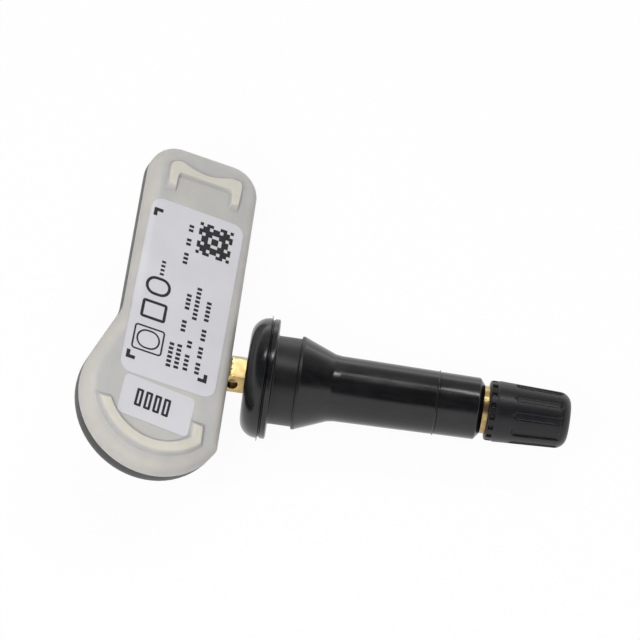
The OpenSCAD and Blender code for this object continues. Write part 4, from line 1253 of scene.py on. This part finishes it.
@dataclass
class Studio:
    """Camera, floor, world and lamps."""

    azimuth: float = -0.16
    elevation: float = 60.44
    roll: float = 8.26
    offset: tuple[float, float, float] = (-7.60, 9.58, 483.7)
    focal_px: float = 3000.0
    frame_px: float = 640.0
    floor_z: float = -10.35
    floor_half: float = 1600.0
    aim: tuple[float, float, float] = (10.0, 0.0, 0.0)

    def camera(self) -> None:
        """Places the camera from the fitted view: the rows of its turning are right, down and forward, and the
        offset is where the row frame's origin lies in them."""
        a, e, r = (math.radians(v) for v in (self.azimuth, self.elevation, self.roll))
        towards = np.array([math.sin(a) * math.cos(e), -math.cos(a) * math.cos(e), math.sin(e)])
        forward = -towards
        right = np.cross(forward, [0.0, 0.0, 1.0])
        right /= np.linalg.norm(right)
        down = np.cross(forward, right)
        rows = np.array([right, down, forward])
        turn = np.array([[math.cos(r), -math.sin(r), 0], [math.sin(r), math.cos(r), 0], [0, 0, 1]]) @ rows
        eye = -turn.T @ np.array(self.offset) * MM
        data = bpy.data.cameras.new("view")
        data.sensor_width = 36.0
        data.lens = 36.0 * self.focal_px / self.frame_px
        data.clip_start = 0.01
        data.clip_end = 20.0
        camera = add_object("view", data)
        axes = np.column_stack([turn[0], -turn[1], -turn[2], eye])
        camera.matrix_world = Matrix(np.vstack([axes, [0.0, 0.0, 0.0, 1.0]]).tolist())
        bpy.context.scene.camera = camera

    def lamp(self, name: str, place_mm: tuple[float, float, float], size_mm: tuple[float, float], watts: float,
             mirrored: bool = True) -> None:
        """Adds a soft rectangular lamp.

        Args:
            name: the lamp's name.
            place_mm: where it hangs.
            size_mm: its width and height.
            watts: its power.
            mirrored: whether glossy surfaces mirror it.
        """
        data = bpy.data.lights.new(name, "AREA")
        data.shape = "RECTANGLE"
        data.size, data.size_y = size_mm[0] * MM, size_mm[1] * MM
        data.energy = watts
        lamp = add_object(name, data)
        lamp.location = Vector(place_mm) * MM
        lamp.rotation_euler = (Vector(self.aim) - Vector(place_mm)).to_track_quat("-Z", "Y").to_euler()
        lamp.visible_camera = False
        lamp.visible_glossy = mirrored

    @staticmethod
    def seen_directly(tree: NodeTree) -> Node:
        """Tells a surface that is seen from one that only lights others.

        Args:
            tree: the node tree.

        Returns:
            A node that gives 1 where the camera, a reflection or glass sees the surface, and 0 elsewhere.
        """
        ray = add_node(tree, "LightPath").outputs
        clear = add_node(tree, "Math", {"operation": "MAXIMUM"},
                         {0: ray["Is Camera Ray"], 1: ray["Is Transmission Ray"]})
        return add_node(tree, "Math", {"operation": "MAXIMUM"}, {0: clear, 1: ray["Is Glossy Ray"]})

    def world(self, strength: float) -> None:
        """Makes the world a white wall where it is seen directly, under a ceiling that is dim overhead and greyer
        towards the back, and softly lit otherwise.

        Args:
            strength: light level for diffuse light.
        """
        world = bpy.data.worlds.new("studio")
        bpy.context.scene.world = world
        world.use_nodes = True
        tree = world.node_tree
        tree.nodes.clear()
        where = add_node(tree, "TexCoord").outputs["Generated"]
        split = add_node(tree, "SeparateXYZ", links={0: where}).outputs
        level = add_node(tree, "MapRange", {"From Min": -0.1, "From Max": 0.95}, {"Value": split["Z"]})
        stops = [(0.0, 0.22), (0.25, 0.5), (0.7, 1.0), (1.0, 0.9)]
        sky = add_node(tree, "ValToRGB", {"stops": stops}, {"Fac": level})
        soft = add_node(tree, "Background", {"Strength": strength}, {"Color": sky})
        lean = add_node(tree, "Math", {"operation": "MULTIPLY_ADD", 1: 0.2}, {0: split["Y"], 2: split["Z"]})
        wall = add_node(tree, "ValToRGB", {"stops": [(0.47, 1.0), (0.57, 0.1)]}, {"Fac": lean})
        haze = add_node(tree, "ValToRGB", {"stops": [(0.2, 0.1), (0.75, 0.5)]}, {"Fac": split["Y"]})
        both = add_node(tree, "Math", {"operation": "MAXIMUM"}, {0: wall, 1: haze})
        white = add_node(tree, "Background", {"Strength": 1.0}, {"Color": both})
        mixed = add_node(tree, "MixShader", links={0: self.seen_directly(tree), 1: soft, 2: white})
        add_node(tree, "OutputWorld", links={"Surface": mixed})

    def floor(self) -> None:
        """Lays a pale floor under the part that reads as the white background and keeps a faint shadow."""
        mesh = bpy.data.meshes.new("studio_floor")
        r, z = self.floor_half * MM, self.floor_z * MM
        mesh.from_pydata([(-r, -r, z), (r, -r, z), (r, r, z), (-r, r, z)], [], [(0, 1, 2, 3)])
        material, tree, points = start_material("floor_paper")
        fibre = add_node(tree, "TexNoise", {"Scale": 0.2}, {"Vector": points})
        end_material(tree, {"Base Color": linear("F8F8F8"), "Roughness": 0.9}, {}, fibre, 0.05, 0.1)
        glow = add_node(tree, "Emission", {"Color": (1, 1, 1, 1), "Strength": 1.0})
        share = add_node(tree, "Math", {"operation": "MULTIPLY", 1: 0.95}, {0: self.seen_directly(tree)})
        mixed = add_node(tree, "MixShader", links={0: share, 1: tree.nodes[PRINCIPLED], 2: glow})
        add_node(tree, tree.nodes["Material Output"], links={"Surface": mixed})
        mesh.materials.append(material)
        add_object("studio_floor", mesh)

    def build(self) -> None:
        """Builds camera, floor, world and lamps, and sets the plain view transform."""
        bpy.context.scene.view_settings.view_transform = "Standard"
        self.camera()
        self.floor()
        self.world(0.3)
        self.lamp("key_softbox", (-105.0, -220.0, 368.0), (260.0, 260.0), 1.36, mirrored=False)
        self.lamp("strip_softbox", (116.0, 163.0, 365.0), (168.0, 30.0), 0.26)
        self.lamp("small_softbox", (-43.0, 125.0, 400.0), (30.0, 38.0), 0.15)
        self.lamp("back_softbox", (0.0, 600.0, 55.0), (800.0, 110.0), 0.25)


def main() -> None:
    """Builds every sub-assembly in order and reports each piece."""
    logging.basicConfig(level=logging.INFO, format="%(name)s: %(message)s")
    nylon, black, rubber, brass, film, ink = (finish().material() for finish in (
        MouldedNylon, DarkMoulding, MouldedRubber, TurnedMetal, LabelFilm, ThermalInk))
    cap_plastic = DarkMoulding(name="cap_plastic_moulded", dark="151517", light="1D1D20", roughness=0.36,
                               specular=0.38).material()
    steel = TurnedMetal(name="steel_drawn", bright="C9CACC", tarnish="9EA0A4", roughness=0.28).material()
    nickel = TurnedMetal(name="nickel_plated_strip", bright="CFCDC6", tarnish="A9A69E", roughness=0.22).material()
    tinned = TurnedMetal(name="bronze_tinned", bright="D8C9A4", tarnish="B29C6C", roughness=0.3).material()
    soft_black = MouldedRubber(name="silicone_moulded", dark="232326", bloom="37373B", roughness=0.5,
                               matt=0.0).material()

    housing = Housing()
    housing.build(nylon, black)

    large = Label("spec_label", (-18.475, 7.1), -1.2, 16.1, 32.3, 2.0, housing)
    rows = np.concatenate([
        dashes(-0.8, [(5.7, 8.3), (9.2, 10.8), (11.8, 13.6)], 0.8), dashes(-0.35, [(-13.2, -8.2)], 0.8),
        dashes(0.98, [(-13.1, -8.4), (-6.3, -4.2), (-2.2, 0.9)], 0.8),
        dashes(2.5, [(-12.9, -9.8), (-8.8, -7.4), (-3.6, 2.8)], 0.8),
        dashes(4.5, [(-12.9, -10.6), (-10.0, -7.4), (-6.8, -4.2), (-3.2, 0.7)], 0.8),
        dashes(-4.2, [(2.2, 5.3)], 0.7, 0.76, 0.42)])
    solid = np.concatenate([block_field((3.5, 11.5), 5.9), corner_mark(-7.5, 14.2, True, False),
                            corner_mark(-7.4, -13.8, True, True), corner_mark(6.4, -13.8, False, True)])
    large.build(film, ink, [
        large.bars(rows), large.bars(solid), large.outline((-4.35, 0.2), (4.3, 3.4), 1.69, 0.5),
        large.outline((-4.3, -4.25), (4.3, 3.4), 0.5, 0.5), large.outline((-4.3, -9.6), (5.2, 4.6), 0.6, 0.3),
        large.outline((-4.3, -9.6), (4.0, 3.4), 1.69, 0.3)])
    small = Label("number_label", (-19.85, -13.12), -4.3, 12.03, 6.94, 0.8, housing)
    small.build(film, ink, [small.outline((-3.0 + 1.55 * k, 0.15), (1.15, 3.1), 0.2, 0.42) for k in range(4)])

    Stem().build(rubber, brass)
    CoreSpring().build(steel)
    Cap().build(cap_plastic)

    speckled = {
        "circuit_board": SpeckledSolid("glass_epoxy_laminated", "17452B", "1F5A38", 0.4, 0.4),
        "sensor_chip": SpeckledSolid("chip_epoxy_moulded", "1B1B1D", "27272A", 0.1, 0.5),
        "lf_coil_core": SpeckledSolid("ferrite_sintered", "38363A", "4A474B", 0.08, 0.55),
        "lf_coil_winding": SpeckledSolid("copper_wire_enamelled", "8A4A22", "B86A36", 0.12, 0.3, 0.8,
                                         (0.05, 1.0, 1.0)),
        "chip_components": SpeckledSolid("ceramic_fired", "6B5138", "8C6E50", 0.15, 0.5),
        "core_gasket": SpeckledSolid("seal_ring_moulded", "A8302A", "BC3D34", 0.3, 0.45)}
    for node, finish in speckled.items():
        dress(finish.material(), node)
    dress(steel, "coin_cell", "attachment_screw", "core_pin")
    dress(nickel, "battery_tab_positive", "battery_tab_negative", "crystal")
    dress(tinned, "rf_antenna")
    dress(brass, "core_body")
    dress(soft_black, "port_seal", "core_plug", "cap_seal")

    Studio().build()


if __name__ == "__main__":
    main()
